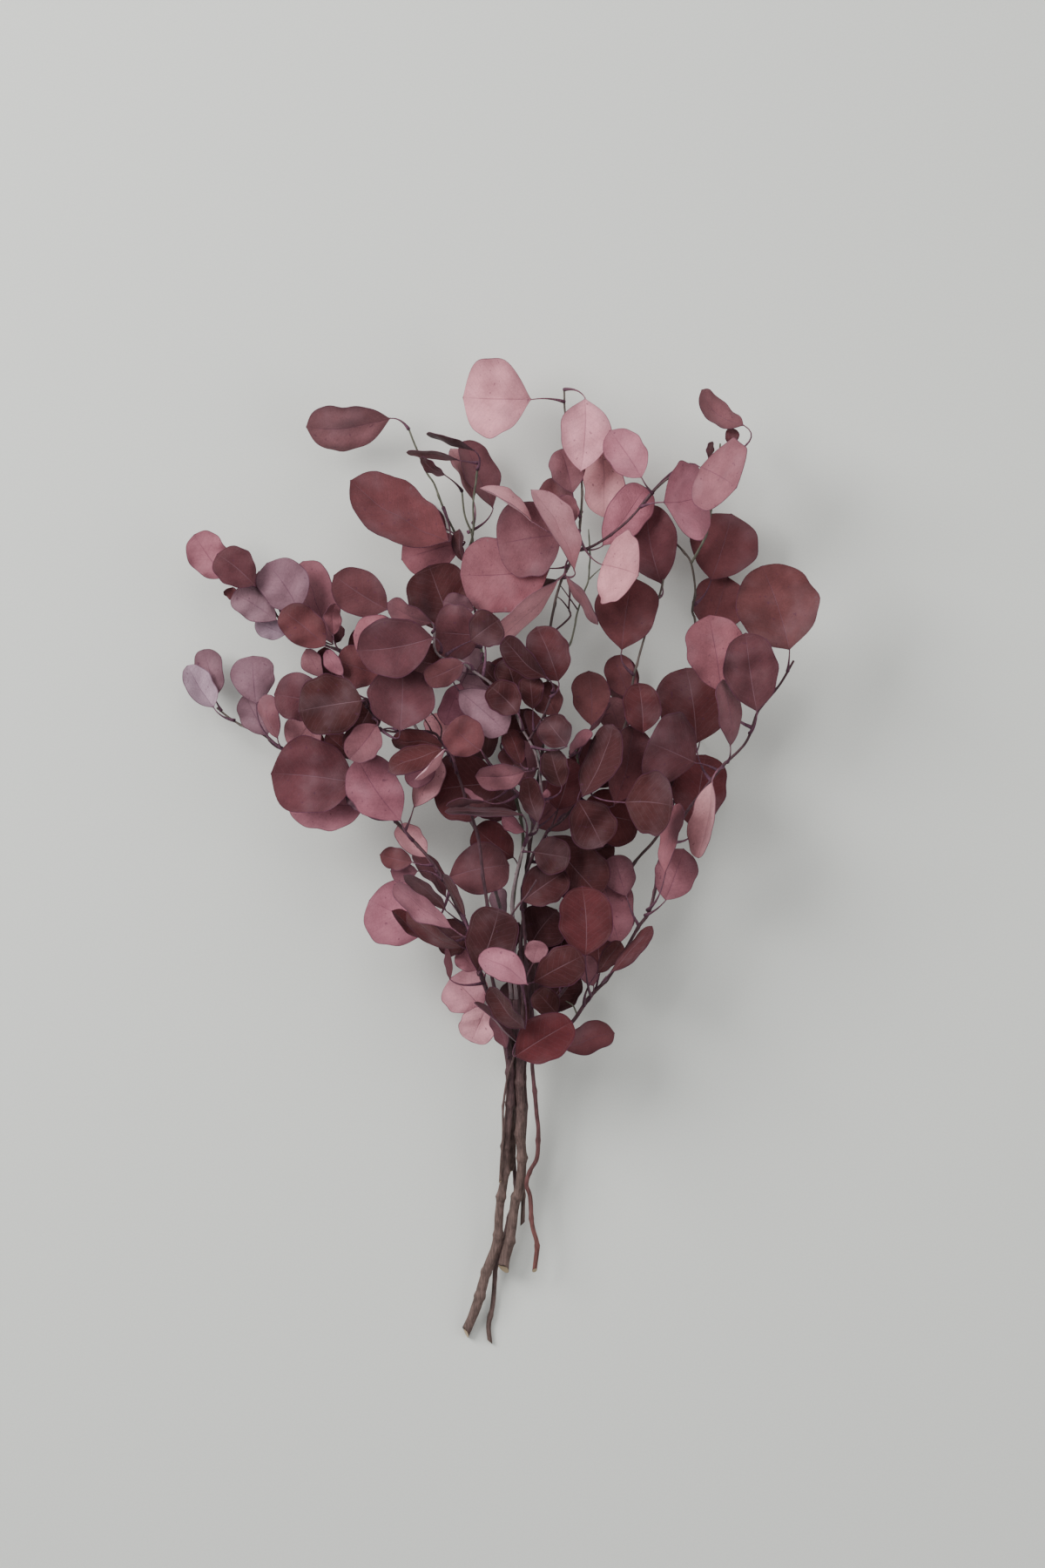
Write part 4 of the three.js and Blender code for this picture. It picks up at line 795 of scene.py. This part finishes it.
def add_tube(surface, points, radii, sides, tints, seed, cut=None, ridges=0.0):
    """A profile carried along a line: the circle r(s) (cos a, sin a) with ridges, on each point.

    Its frame is the line's way, the level side (way x up) and their cross product. Both ends are
    closed by rings that shrink to a narrow cap. A cut end leans over and shows its wood. The grain
    holds the share of the radius, whether it is cut wood, and the run along the line.
    """
    draw = np.random.default_rng(seed)
    way = unit(np.gradient(points, axis=0))
    side = unit(np.cross(way, [0, 0, 1.0]))
    up = np.cross(side, way)
    angle = np.linspace(0, TURN, sides, endpoint=False)[None]
    run = np.concatenate([[0], np.cumsum(np.linalg.norm(np.diff(points, axis=0), axis=1))])
    swell = np.ones((len(points), sides))
    for count in RIDGE_COUNTS:
        turn, drift = draw.uniform(0, TURN), draw.uniform(-RIDGE_DRIFT, RIDGE_DRIFT)
        swell = swell + ridges / count * np.sin(count * angle + turn + drift * run[:, None] * count)
    reach = radii[:, None] * swell
    rows = (points[:, None] + side[:, None] * (reach * np.cos(angle))[..., None]
            + up[:, None] * (reach * np.sin(angle))[..., None])
    if cut is not None:
        rows[0] = rows[0] + way[0] * (radii[0] * np.cos(angle[0] - cut))[:, None]
    start, end = rows[0].mean(0), rows[-1].mean(0)
    first = [start + (rows[0] - start) * share for share in CUT_RINGS]
    last = [end + (rows[-1] - end) * share + way[-1] * radii[-1] * out for share, out in END_RINGS]
    grid = np.concatenate([first, rows, last])
    index = np.arange(len(grid) * sides).reshape(-1, sides)
    following = np.roll(index, -1, axis=1)
    faces = np.stack([index[1:], following[1:], following[:-1], index[:-1]], -1).reshape(-1, 4)
    k = np.arange(1, sides // 2)
    strips = np.stack([k, k - 1, -k % sides, -k - 1], -1)
    faces = np.vstack([faces, index[0][strips[:, ::-1]], index[-1][strips]])
    rim = len(CUT_RINGS) - 1
    sharp = () if cut is None else np.stack([index[rim], following[rim]], -1)
    ends = len(first), len(last)
    radial = np.concatenate([CUT_RINGS, np.ones(len(grid) - len(first))])
    wood = np.repeat([float(cut is not None), 0.0], [len(first), len(grid) - len(first)])
    grain = np.stack([radial, wood, np.pad(run, ends, mode="edge")], -1)
    tints = np.pad(tints, (ends, (0, 0)), mode="edge")
    surface.add(grid.reshape(-1, 3), faces, sharp,
                grain=grain.repeat(sides, 0), tint=tints.repeat(sides, 0))


def add_twig(surface, twig, settings, cut=None):
    """A twig along its own curve, swollen at each joint of its growth, with a slight zigzag."""
    letters = ord(twig.name[0]) * NAME_PRIMES[1] + ord(twig.name[-1])
    draw = np.random.default_rng(len(twig.name) * NAME_PRIMES[0] + letters)
    steps = max(LEAST_RINGS, int(twig.length / settings.ring_spacing))
    points = evenly(twig.path, steps)
    run = np.linspace(0, twig.length, steps + 1)
    share = run / twig.length
    thinnest, thickest = TIP_SHARES
    slim = np.interp(twig.thick, BASE_RADII, [settings.twig_slimness, *BASE_SHARES])
    slim_tip = np.interp(twig.thin, TIP_RADII, [settings.twig_slimness * thinnest, thickest])
    radius = twig.thick * slim * (1 - share) + twig.thin * slim_tip * share
    joints = np.cumsum(draw.uniform(*JOINT_SPACING, MOST_JOINTS))
    joints = joints[joints < twig.length - LAST_JOINT]
    if len(joints):
        nearness = np.exp(-((run[:, None] - joints[None]) / JOINT_REACH) ** 2)
        radius = radius * (1 + settings.joint_swelling * nearness.max(1))
    short, long = (run / spacing for spacing in UNEVEN_SPACING)
    uneven = np.sin(short + draw.uniform(0, MOST_PHASE)) * np.sin(long)
    radius = radius * (1 + UNEVEN_SHARE * uneven)
    level = unit(np.cross(np.gradient(points, axis=0), [0, 0, 1.0]))
    zigzag = np.interp(run, np.concatenate([[0], joints, [twig.length]]),
                       np.concatenate([[0], np.resize([ZIGZAG, -ZIGZAG], len(joints)), [0]]))
    points = points + level * (zigzag * np.minimum(1, radius))[:, None]
    points[:, 2] = np.maximum(points[:, 2], REST_ROOM * radius)
    bark = BARKS.get(twig.name, "plum")
    bare = bark == "woody"
    tip = TIP_BARKS.get(twig.name, "plum" if bare else bark)
    foot = FOOT_BARKS.get(twig.name, bark)
    bark, tip, foot = (np.array(getattr(settings, name)) for name in (bark, tip, foot))
    blend = np.clip(share * TIP_SLOPE - TIP_START, 0, 1)[:, None]
    blend = blend * (BARE_TIP if bare else LEAFY_TIP)
    low = np.clip(1 - run / FOOT_LENGTH, 0, 1)[:, None]
    tints = (bark * (1 - blend) + tip * blend) * (1 - low) + foot * low
    sides, ridges = THICK_MESH if twig.thick > THICK_TWIG else THIN_MESH
    add_tube(surface, points, radius, sides, tints, int(draw.integers(1e6)), cut, ridges)


def add_stalk(surface, leaf, settings, shades):
    """A leaf's stalk: a smooth arc from the twig that turns to meet the blade's own way."""
    draw = np.random.default_rng(leaf.number + STALK_SEED)
    start, end = leaf.stalk[0], leaf.stalk[-1]
    span, halfway = np.linalg.norm(end - start), (start + end) / 2
    if len(leaf.stalk) == 3:
        control = 2 * leaf.stalk[1] - halfway
    else:
        pull = end - leaf.along * span / 2 - halfway
        length = max(np.linalg.norm(pull), 1e-6)
        control = halfway + pull * min(PULL_SHARE, MOST_PULL / length)
        control = control + leaf.side * draw.uniform(-1, 1) * min(SWAY_SHARE * span, MOST_SWAY)
    t = np.linspace(0, 1, STALK_PARTS)[:, None]
    points = start * (1 - t) ** 2 + control * 2 * t * (1 - t) + end * t**2
    points = np.vstack([points, end + leaf.along * STALK_INSIDE - leaf.up * STALK_UNDER])
    share = np.linspace(0, 1, len(points))
    radii = settings.stalk_radius * (STALK_FLARE * (1 - share) ** 3 + 1.0 - STALK_THINNING * share)
    shade = np.array(getattr(shades, SHADE_NAMES[leaf.shade]))
    stalk = np.array(settings.stalk_colour) * np.exp(draw.normal(0, STALK_SPREAD))
    tints = stalk + (shade - stalk) * STALK_SHADE * share[:, None]
    add_tube(surface, points, radii, STALK_SIDES, tints, leaf.number)


def plug(tree, node, **inputs):
    """Sets a node's sockets, each by name or as i0, i1, to a value or to a link."""
    for name, value in inputs.items():
        socket = node.inputs[int(name[1:]) if name[1:].isdigit() else name.replace("_", " ")]
        if isinstance(value, bpy.types.NodeSocket):
            tree.links.new(value, socket)
        else:
            socket.default_value = value


def add(tree, kind, options=None, **inputs):
    """A shader node with its options and its sockets."""
    made = tree.nodes.new(kind)
    for name, value in (options or {}).items():
        setattr(made, name, value)
    plug(tree, made, **inputs)
    return made


def maths(tree, operation, first, second=0.0, third=0.0):
    """The result of one Math node."""
    made = add(tree, "ShaderNodeMath", {"operation": operation}, i0=first, i1=second, i2=third)
    return made.outputs[0]


def ranged(tree, value, low, high, out_low=0.0, out_high=1.0):
    """A value eased from one range to another, and held at its ends."""
    return add(tree, "ShaderNodeMapRange", {"interpolation_type": "SMOOTHSTEP"}, Value=value,
               From_Min=low, From_Max=high, To_Min=out_low, To_Max=out_high).outputs[0]


def mixed(tree, factor, *colours):
    """Two colours mixed by a factor."""
    first, second = (c if isinstance(c, bpy.types.NodeSocket) else (*c, 1) for c in colours)
    return add(tree, "ShaderNodeMix", {"data_type": "RGBA"}, i0=factor, i6=first,
               i7=second).outputs[2]


def scaled(tree, colour, amount):
    """A colour made lighter or darker by an amount."""
    return add(tree, "ShaderNodeVectorMath", {"operation": "SCALE"}, i0=colour,
               Scale=amount).outputs[0]


def field(tree, name):
    """An attribute of the mesh."""
    return add(tree, "ShaderNodeAttribute", {"attribute_name": name}).outputs["Vector"]


def new_material(name):
    """An empty material, its node tree and its shader."""
    material = bpy.data.materials.new(name)
    material.use_nodes = True
    tree = material.node_tree
    return material, tree, tree.nodes["Principled BSDF"]


def noise(tree, scale, detail=2.0, roughness=0.5, vector=None):
    """A noise value on the object's own coordinates, its scale in features to the metre."""
    where = vector or add(tree, "ShaderNodeTexCoord").outputs["Object"]
    return add(tree, "ShaderNodeTexNoise", Vector=where, Scale=scale, Detail=detail,
               Roughness=roughness).outputs["Fac"]


def leaf_material(settings):
    """Dried leaf: mottled tints, rib, slanted side veins, a darker margin, and a dry soft sheen.

    The blade attribute holds the way across, the way along, and the distance from the margin, all
    in millimetres.
    """
    material, tree, shader = new_material("dried_leaf")
    tint = field(tree, "tint")
    parts = add(tree, "ShaderNodeSeparateXYZ", Vector=field(tree, "blade"))
    across = maths(tree, "ABSOLUTE", parts.outputs[0])
    along, edge = parts.outputs[1], parts.outputs[2]
    slanted = maths(tree, "MULTIPLY_ADD", across, -VEIN_SLANT, along)
    wavy = maths(tree, "MULTIPLY_ADD", noise(tree, 110), 3.4, slanted)
    phase = maths(tree, "FRACT", maths(tree, "DIVIDE", wavy, settings.vein_spacing))
    off_middle = maths(tree, "ABSOLUTE", maths(tree, "SUBTRACT", phase, 0.5))
    side_vein = ranged(tree, off_middle, 0.445, 0.495)
    side_vein = maths(tree, "MULTIPLY", side_vein, ranged(tree, edge, 0.8, 3.0))
    rib = ranged(tree, across, 0.1, 0.42, 1.0, 0.0)
    rib = maths(tree, "MULTIPLY", rib, ranged(tree, edge, 0.5, 12.0, 0.2, 1.0))
    ring = maths(tree, "ABSOLUTE", maths(tree, "SUBTRACT", edge, 1.7))
    ring = ranged(tree, ring, 0.08, 0.3, 0.25, 0.0)
    veins = maths(tree, "MAXIMUM", maths(tree, "MULTIPLY", side_vein, 0.34), ring)
    veins = maths(tree, "MAXIMUM", veins, rib)
    mottle = ranged(tree, noise(tree, 70, 4.0, 0.6), 0.3, 0.72, 0.84, 1.12)
    grain = ranged(tree, noise(tree, 900, 3.0, 0.6), 0.3, 0.7, 0.93, 1.06)
    depth = ranged(tree, edge, 0.0, 7.0, 0.86, 1.04)
    toned = scaled(tree, scaled(tree, scaled(tree, tint, mottle), grain), depth)
    bloom = ranged(tree, noise(tree, 38, 3.0, 0.55), 0.48, 0.75, 0.0, settings.bloom)
    toned = mixed(tree, bloom, toned, settings.bloom_colour)
    speck = ranged(tree, noise(tree, 420, 1.0), 0.70, 0.76, 0.0, 0.45)
    toned = mixed(tree, speck, toned, settings.margin_colour)
    brightness = add(tree, "ShaderNodeRGBToBW", Color=tint).outputs[0]
    paleness = ranged(tree, brightness, 0.03, 0.085)
    vein_tint = mixed(tree, paleness, settings.pale_vein, settings.dark_vein)
    veined = mixed(tree, maths(tree, "MULTIPLY", veins, settings.vein_strength), toned, vein_tint)
    border = ranged(tree, edge, 0.15, 0.75, settings.margin_strength, 0.0)
    finished = mixed(tree, border, veined, settings.margin_colour)
    roughness = ranged(tree, noise(tree, 160, 3.0), 0.3, 0.7, 0.52, 0.74)
    where = add(tree, "ShaderNodeTexCoord").outputs["Object"]
    wrinkle = add(tree, "ShaderNodeTexVoronoi", {"feature": "DISTANCE_TO_EDGE"},
                  Scale=520.0, Vector=where).outputs["Distance"]
    height = maths(tree, "MULTIPLY", noise(tree, 240, 4.0, 0.6), 0.9)
    height = maths(tree, "MULTIPLY_ADD", veins, -0.6, height)
    height = maths(tree, "MULTIPLY_ADD", ranged(tree, wrinkle, 0.0, 0.12), 0.16, height)
    bump = add(tree, "ShaderNodeBump", Strength=0.55, Distance=0.0006, Height=height)
    plug(tree, shader, Base_Color=finished, Roughness=roughness, Normal=bump.outputs[0],
         Specular_IOR_Level=0.12, Sheen_Weight=0.06, Sheen_Roughness=0.55,
         Sheen_Tint=(0.86, 0.78, 0.9, 1))
    return material


def bark_material(settings):
    """Dry bark: long fibres along the stem, broad patches of tone, and pale ringed wood at the cut.
    """
    material, tree, shader = new_material("stem_bark")
    parts = add(tree, "ShaderNodeSeparateXYZ", Vector=field(tree, "grain"))
    where = add(tree, "ShaderNodeTexCoord").outputs["Object"]
    stretched = add(tree, "ShaderNodeMapping", Vector=where, Scale=(1.0, 0.12, 1.0))
    fibre = noise(tree, 1100, 4.0, 0.65, stretched.outputs[0])
    patch = noise(tree, 130, 3.0, 0.6)
    toned = scaled(tree, field(tree, "tint"), ranged(tree, fibre, 0.3, 0.72, 0.62, 1.35))
    toned = scaled(tree, toned, ranged(tree, patch, 0.3, 0.7, 0.78, 1.2))
    rings = maths(tree, "SINE", maths(tree, "MULTIPLY", parts.outputs[0], 40.0))
    wood = scaled(tree, tuple(settings.wood_colour), ranged(tree, rings, -1.0, 1.0, 0.86, 1.08))
    finished = mixed(tree, ranged(tree, parts.outputs[1], 0.3, 0.7), toned, wood)
    roughness = ranged(tree, fibre, 0.3, 0.7, 0.6, 0.82)
    height = maths(tree, "MULTIPLY_ADD", patch, 0.6, fibre)
    bump = add(tree, "ShaderNodeBump", Strength=0.7, Distance=0.0008, Height=height)
    plug(tree, shader, Base_Color=finished, Roughness=roughness, Normal=bump.outputs[0],
         Specular_IOR_Level=0.28)
    return material


def colour(label, description, *value):
    """A colour property, its default given as 0 to 255 on screen."""
    return bpy.props.FloatVectorProperty(
        name=label, description=description, subtype="COLOR", size=3, min=0, max=1,
        default=linear(*value))


def number(label, description, default, least, most, **kind):
    """A number property, with its least and its greatest value."""
    return bpy.props.FloatProperty(
        name=label, description=description, default=default, min=least, max=most, **kind)


def portion(label, description, default, most=1.0, least=0.0):
    """A number property that is a share."""
    return number(label, description, default, least, most, subtype="FACTOR")


class EucalyptusLeaves(bpy.types.PropertyGroup):
    """Sizes and colours of the leaves."""

    blade_thickness: number(
        "Blade Thickness", "Thickness in mm at the middle of a blade", 0.55, 0.2, 0.7)
    margin_wave: number("Margin Wave", "How far the margin waves up and down, in mm", 1.1, 0, 2)
    pleat_height: number("Pleat Height", "Height of the pleats along the veins, in mm", 0.5, 0, 1)
    fold_height: number("Fold Height", "Height of the slow folds of a blade, in mm", 0.8, 0, 1)
    outline_ripple: portion("Outline Ripple", "How far the outline swings in and out", 0.045, 0.1)
    rib_height: number("Rib Height", "Height of the rib under a blade, in mm", 0.4, 0, 1)
    vein_spacing: number("Vein Spacing", "Distance between side veins, in mm", 3.6, 1, 10)
    vein_strength: portion("Vein Strength", "How far the veins differ from the blade", 0.34)
    margin_strength: portion("Margin Strength", "How dark the thin line at the margin is", 0.65)
    bloom: portion("Bloom", "How far the pale waxy bloom covers a blade", 0.1)
    # Pale pink is partly the blades' own colour and partly painted light, for blades that catch
    # most light.
    pale_pink: colour("Pale Pink", "Blades that catch most light", 203, 141, 150)
    pink: colour("Pink", "Pink blades", 166, 106, 119)
    pale_lavender: colour("Pale Lavender", "The palest greyish blades", 162, 136, 149)
    lavender: colour("Lavender", "Greyish lavender blades", 133, 98, 109)
    mauve: colour("Mauve", "Mauve blades", 90, 51, 57)
    rose: colour("Rose", "Rose blades", 140, 87, 97)
    old_rose: colour("Old Rose", "Dull rose blades", 121, 77, 84)
    red: colour("Red", "Dull red blades", 102, 57, 61)
    brown: colour("Brown", "Reddish brown blades", 88, 41, 44)
    dark: colour("Dark", "Dark plum blades", 82, 40, 43)
    # The darkest colour is partly painted shade: it goes to blades deep in the bunch and to slits
    # where shade falls.
    darkest: colour("Darkest", "The darkest blades, deep in the bunch", 67, 33, 35)
    pale_vein: colour("Pale Veins", "Rib and side veins of dark blades", 140, 108, 118)
    dark_vein: colour("Dark Veins", "Rib and side veins of pale blades", 84, 44, 70)
    margin_colour: colour("Margin", "Thin line at the margin", 78, 40, 62)
    bloom_colour: colour("Waxy Bloom", "Pale waxy bloom on a blade", 176, 150, 162)


class EucalyptusStems(bpy.types.PropertyGroup):
    """Sizes and colours of the stems, twigs and stalks."""

    twig_slimness: portion(
        "Twig Slimness", "Radius of a thin twig, over that in the part", 0.72, least=0.4)
    joint_swelling: portion("Joint Swelling", "How far a twig swells where it has a joint", 0.28)
    ring_spacing: number(
        "Ring Spacing", "Distance in mm between the rings of a twig's mesh", 1.6, 0.5, 6)
    stalk_radius: number("Stalk Radius", "Radius of a leaf's stalk, in mm", 0.48, 0.2, 0.8)
    woody: colour("Woody Bark", "Thick brown-grey stems", 100, 81, 76)
    plum: colour("Plum Bark", "Dark plum twigs", 78, 52, 60)
    reddish: colour("Reddish Bark", "The kinked reddish stem", 112, 70, 66)
    pale: colour("Pale Bark", "Pale grey twigs", 122, 106, 109)
    green: colour("Green Bark", "The thinnest, greenish twigs", 96, 96, 84)
    stalk_colour: colour("Stalks", "Leaf stalks", 92, 58, 76)
    wood_colour: colour("Cut Wood", "Pale wood where a stem is cut", 190, 168, 138)


class StudioStage(bpy.types.PropertyGroup):
    """Floor, lights and camera."""

    floor_colour: colour("Floor", "Plain pale floor", 224, 226, 221)
    camera_distance: number(
        "Camera Distance", "From the camera to the middle of the bunch", 5, 0.8, 8, unit="LENGTH")
    side_light: number("Side Light", "Power of the large light on the left, in watts", 60, 0, 500)
    fill_light: number("Fill Light", "Power of the large light on the right, in watts", 14, 0, 500)
    top_light: number("Top Light", "Power of the soft light beyond the top, in watts", 22, 0, 500)


class EUCALYPTUS_OT_leaves(bpy.types.Operator):
    """Makes the blades of every stem"""

    bl_idname = "eucalyptus.leaves"
    bl_label = "Leaves"

    def execute(self, context):
        settings = context.scene.eucalyptus_leaves
        material = leaf_material(settings)
        stems, _, leaves = bunch()
        for stem in stems:
            surface = Surface()
            for leaf in leaves:
                if leaf.host.stem == stem:
                    add_blade(surface, leaf, settings)
            blades = surface.build(f"{stem}_leaves", material)
            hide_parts(stem)
            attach(blades, "root")
        return {"FINISHED"}


class EUCALYPTUS_OT_stems(bpy.types.Operator):
    """Makes the stem, twigs and leaf stalks of every stem"""

    bl_idname = "eucalyptus.stems"
    bl_label = "Stems"

    def execute(self, context):
        settings = context.scene.eucalyptus_stems
        material = bark_material(settings)
        stems, twigs, leaves = bunch()
        for stem in stems:
            surface = Surface()
            main_twig, *side_twigs = (twig for twig in twigs if twig.stem == stem)
            add_twig(surface, main_twig, settings, CUT_LEANS[stem])
            fine_twigs = [make_twig(stem, *row) for row in FINE_TWIGS.get(stem, ())]
            for twig in (*side_twigs, *fine_twigs):
                add_twig(surface, twig, settings)
            for leaf in leaves:
                if leaf.host.stem == stem:
                    add_stalk(surface, leaf, settings, context.scene.eucalyptus_leaves)
            bark = surface.build(f"{stem}_bark", material)
            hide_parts(stem)
            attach(bark, "root")
        return {"FINISHED"}


def area_light(name, spot, size, power, tint):
    """A square light that faces the middle of the bunch."""
    data = bpy.data.lights.new(name, "AREA")
    data.size, data.energy, data.color = size, power, tint
    light = placed(name, data, spot)
    light.rotation_euler = (Vector(AIM) - Vector(spot)).to_track_quat("-Z", "Y").to_euler()


class EUCALYPTUS_OT_stage(bpy.types.Operator):
    """Makes the plain floor, the soft lights and the camera over the bunch"""

    bl_idname = "eucalyptus.stage"
    bl_label = "Stage"

    def execute(self, context):
        settings = context.scene.studio_stage
        angle = np.linspace(0, TURN, FLOOR_CORNERS, endpoint=False)
        ring = np.stack([np.cos(angle), np.sin(angle), np.zeros(FLOOR_CORNERS)], -1) * FLOOR_RADIUS
        mesh = bpy.data.meshes.new("floor")
        mesh.from_pydata(ring.tolist(), [], [list(range(FLOOR_CORNERS))])
        material, tree, shader = new_material("pale_floor")
        speckle = ranged(tree, noise(tree, 900), 0.3, 0.7, 0.985, 1.015)
        plug(tree, shader, Base_Color=scaled(tree, tuple(settings.floor_colour), speckle),
             Roughness=0.9, Specular_IOR_Level=0.1)
        mesh.materials.append(material)
        floor = placed("floor", mesh)
        for name, power, spot, size, tint in LIGHTS:
            area_light(name, spot, size, getattr(settings, power), tint)
        world = bpy.data.worlds.new("soft_light")
        world.use_nodes = True
        background = world.node_tree.nodes["Background"]
        background.inputs["Color"].default_value = (0.8, 0.82, 0.84, 1)
        background.inputs["Strength"].default_value = 0.4
        context.scene.world = world
        data = bpy.data.cameras.new("camera")
        data.sensor_width = SENSOR
        data.lens = SENSOR * settings.camera_distance / (PHOTO[1] * MM_PER_PIXEL * METRE)
        middle = place(PHOTO[0] / 2, PHOTO[1] / 2, MIDDLE_DEPTH) * METRE
        spot = middle[0], middle[1], middle[2] + settings.camera_distance
        context.scene.camera = placed("camera", data, spot)
        return {"FINISHED"}


# Each group of settings by its name on the scene, and the operator that it belongs to.
SETTINGS = {
    "eucalyptus_leaves": (EucalyptusLeaves, EUCALYPTUS_OT_leaves),
    "eucalyptus_stems": (EucalyptusStems, EUCALYPTUS_OT_stems),
    "studio_stage": (StudioStage, EUCALYPTUS_OT_stage),
}


class EUCALYPTUS_PT_panel(bpy.types.Panel):
    """Lists the pieces and their settings."""

    bl_label = "Eucalyptus"
    bl_idname = "EUCALYPTUS_PT_panel"
    bl_space_type = "VIEW_3D"
    bl_region_type = "UI"
    bl_category = "Eucalyptus"

    def draw(self, context):
        for name, (group, operator) in SETTINGS.items():
            box = self.layout.box()
            for field in group.__annotations__:
                box.prop(getattr(context.scene, name), field)
            box.operator(operator.bl_idname)


def register():
    for name, (group, operator) in SETTINGS.items():
        bpy.utils.register_class(group)
        bpy.utils.register_class(operator)
        setattr(bpy.types.Scene, name, bpy.props.PointerProperty(type=group))
    bpy.utils.register_class(EUCALYPTUS_PT_panel)


def unregister():
    bpy.utils.unregister_class(EUCALYPTUS_PT_panel)
    for name, (group, operator) in SETTINGS.items():
        delattr(bpy.types.Scene, name)
        bpy.utils.unregister_class(operator)
        bpy.utils.unregister_class(group)


def main():
    register()
    bpy.ops.eucalyptus.leaves()
    bpy.ops.eucalyptus.stems()
    bpy.ops.eucalyptus.stage()


if __name__ == "__main__":
    main()
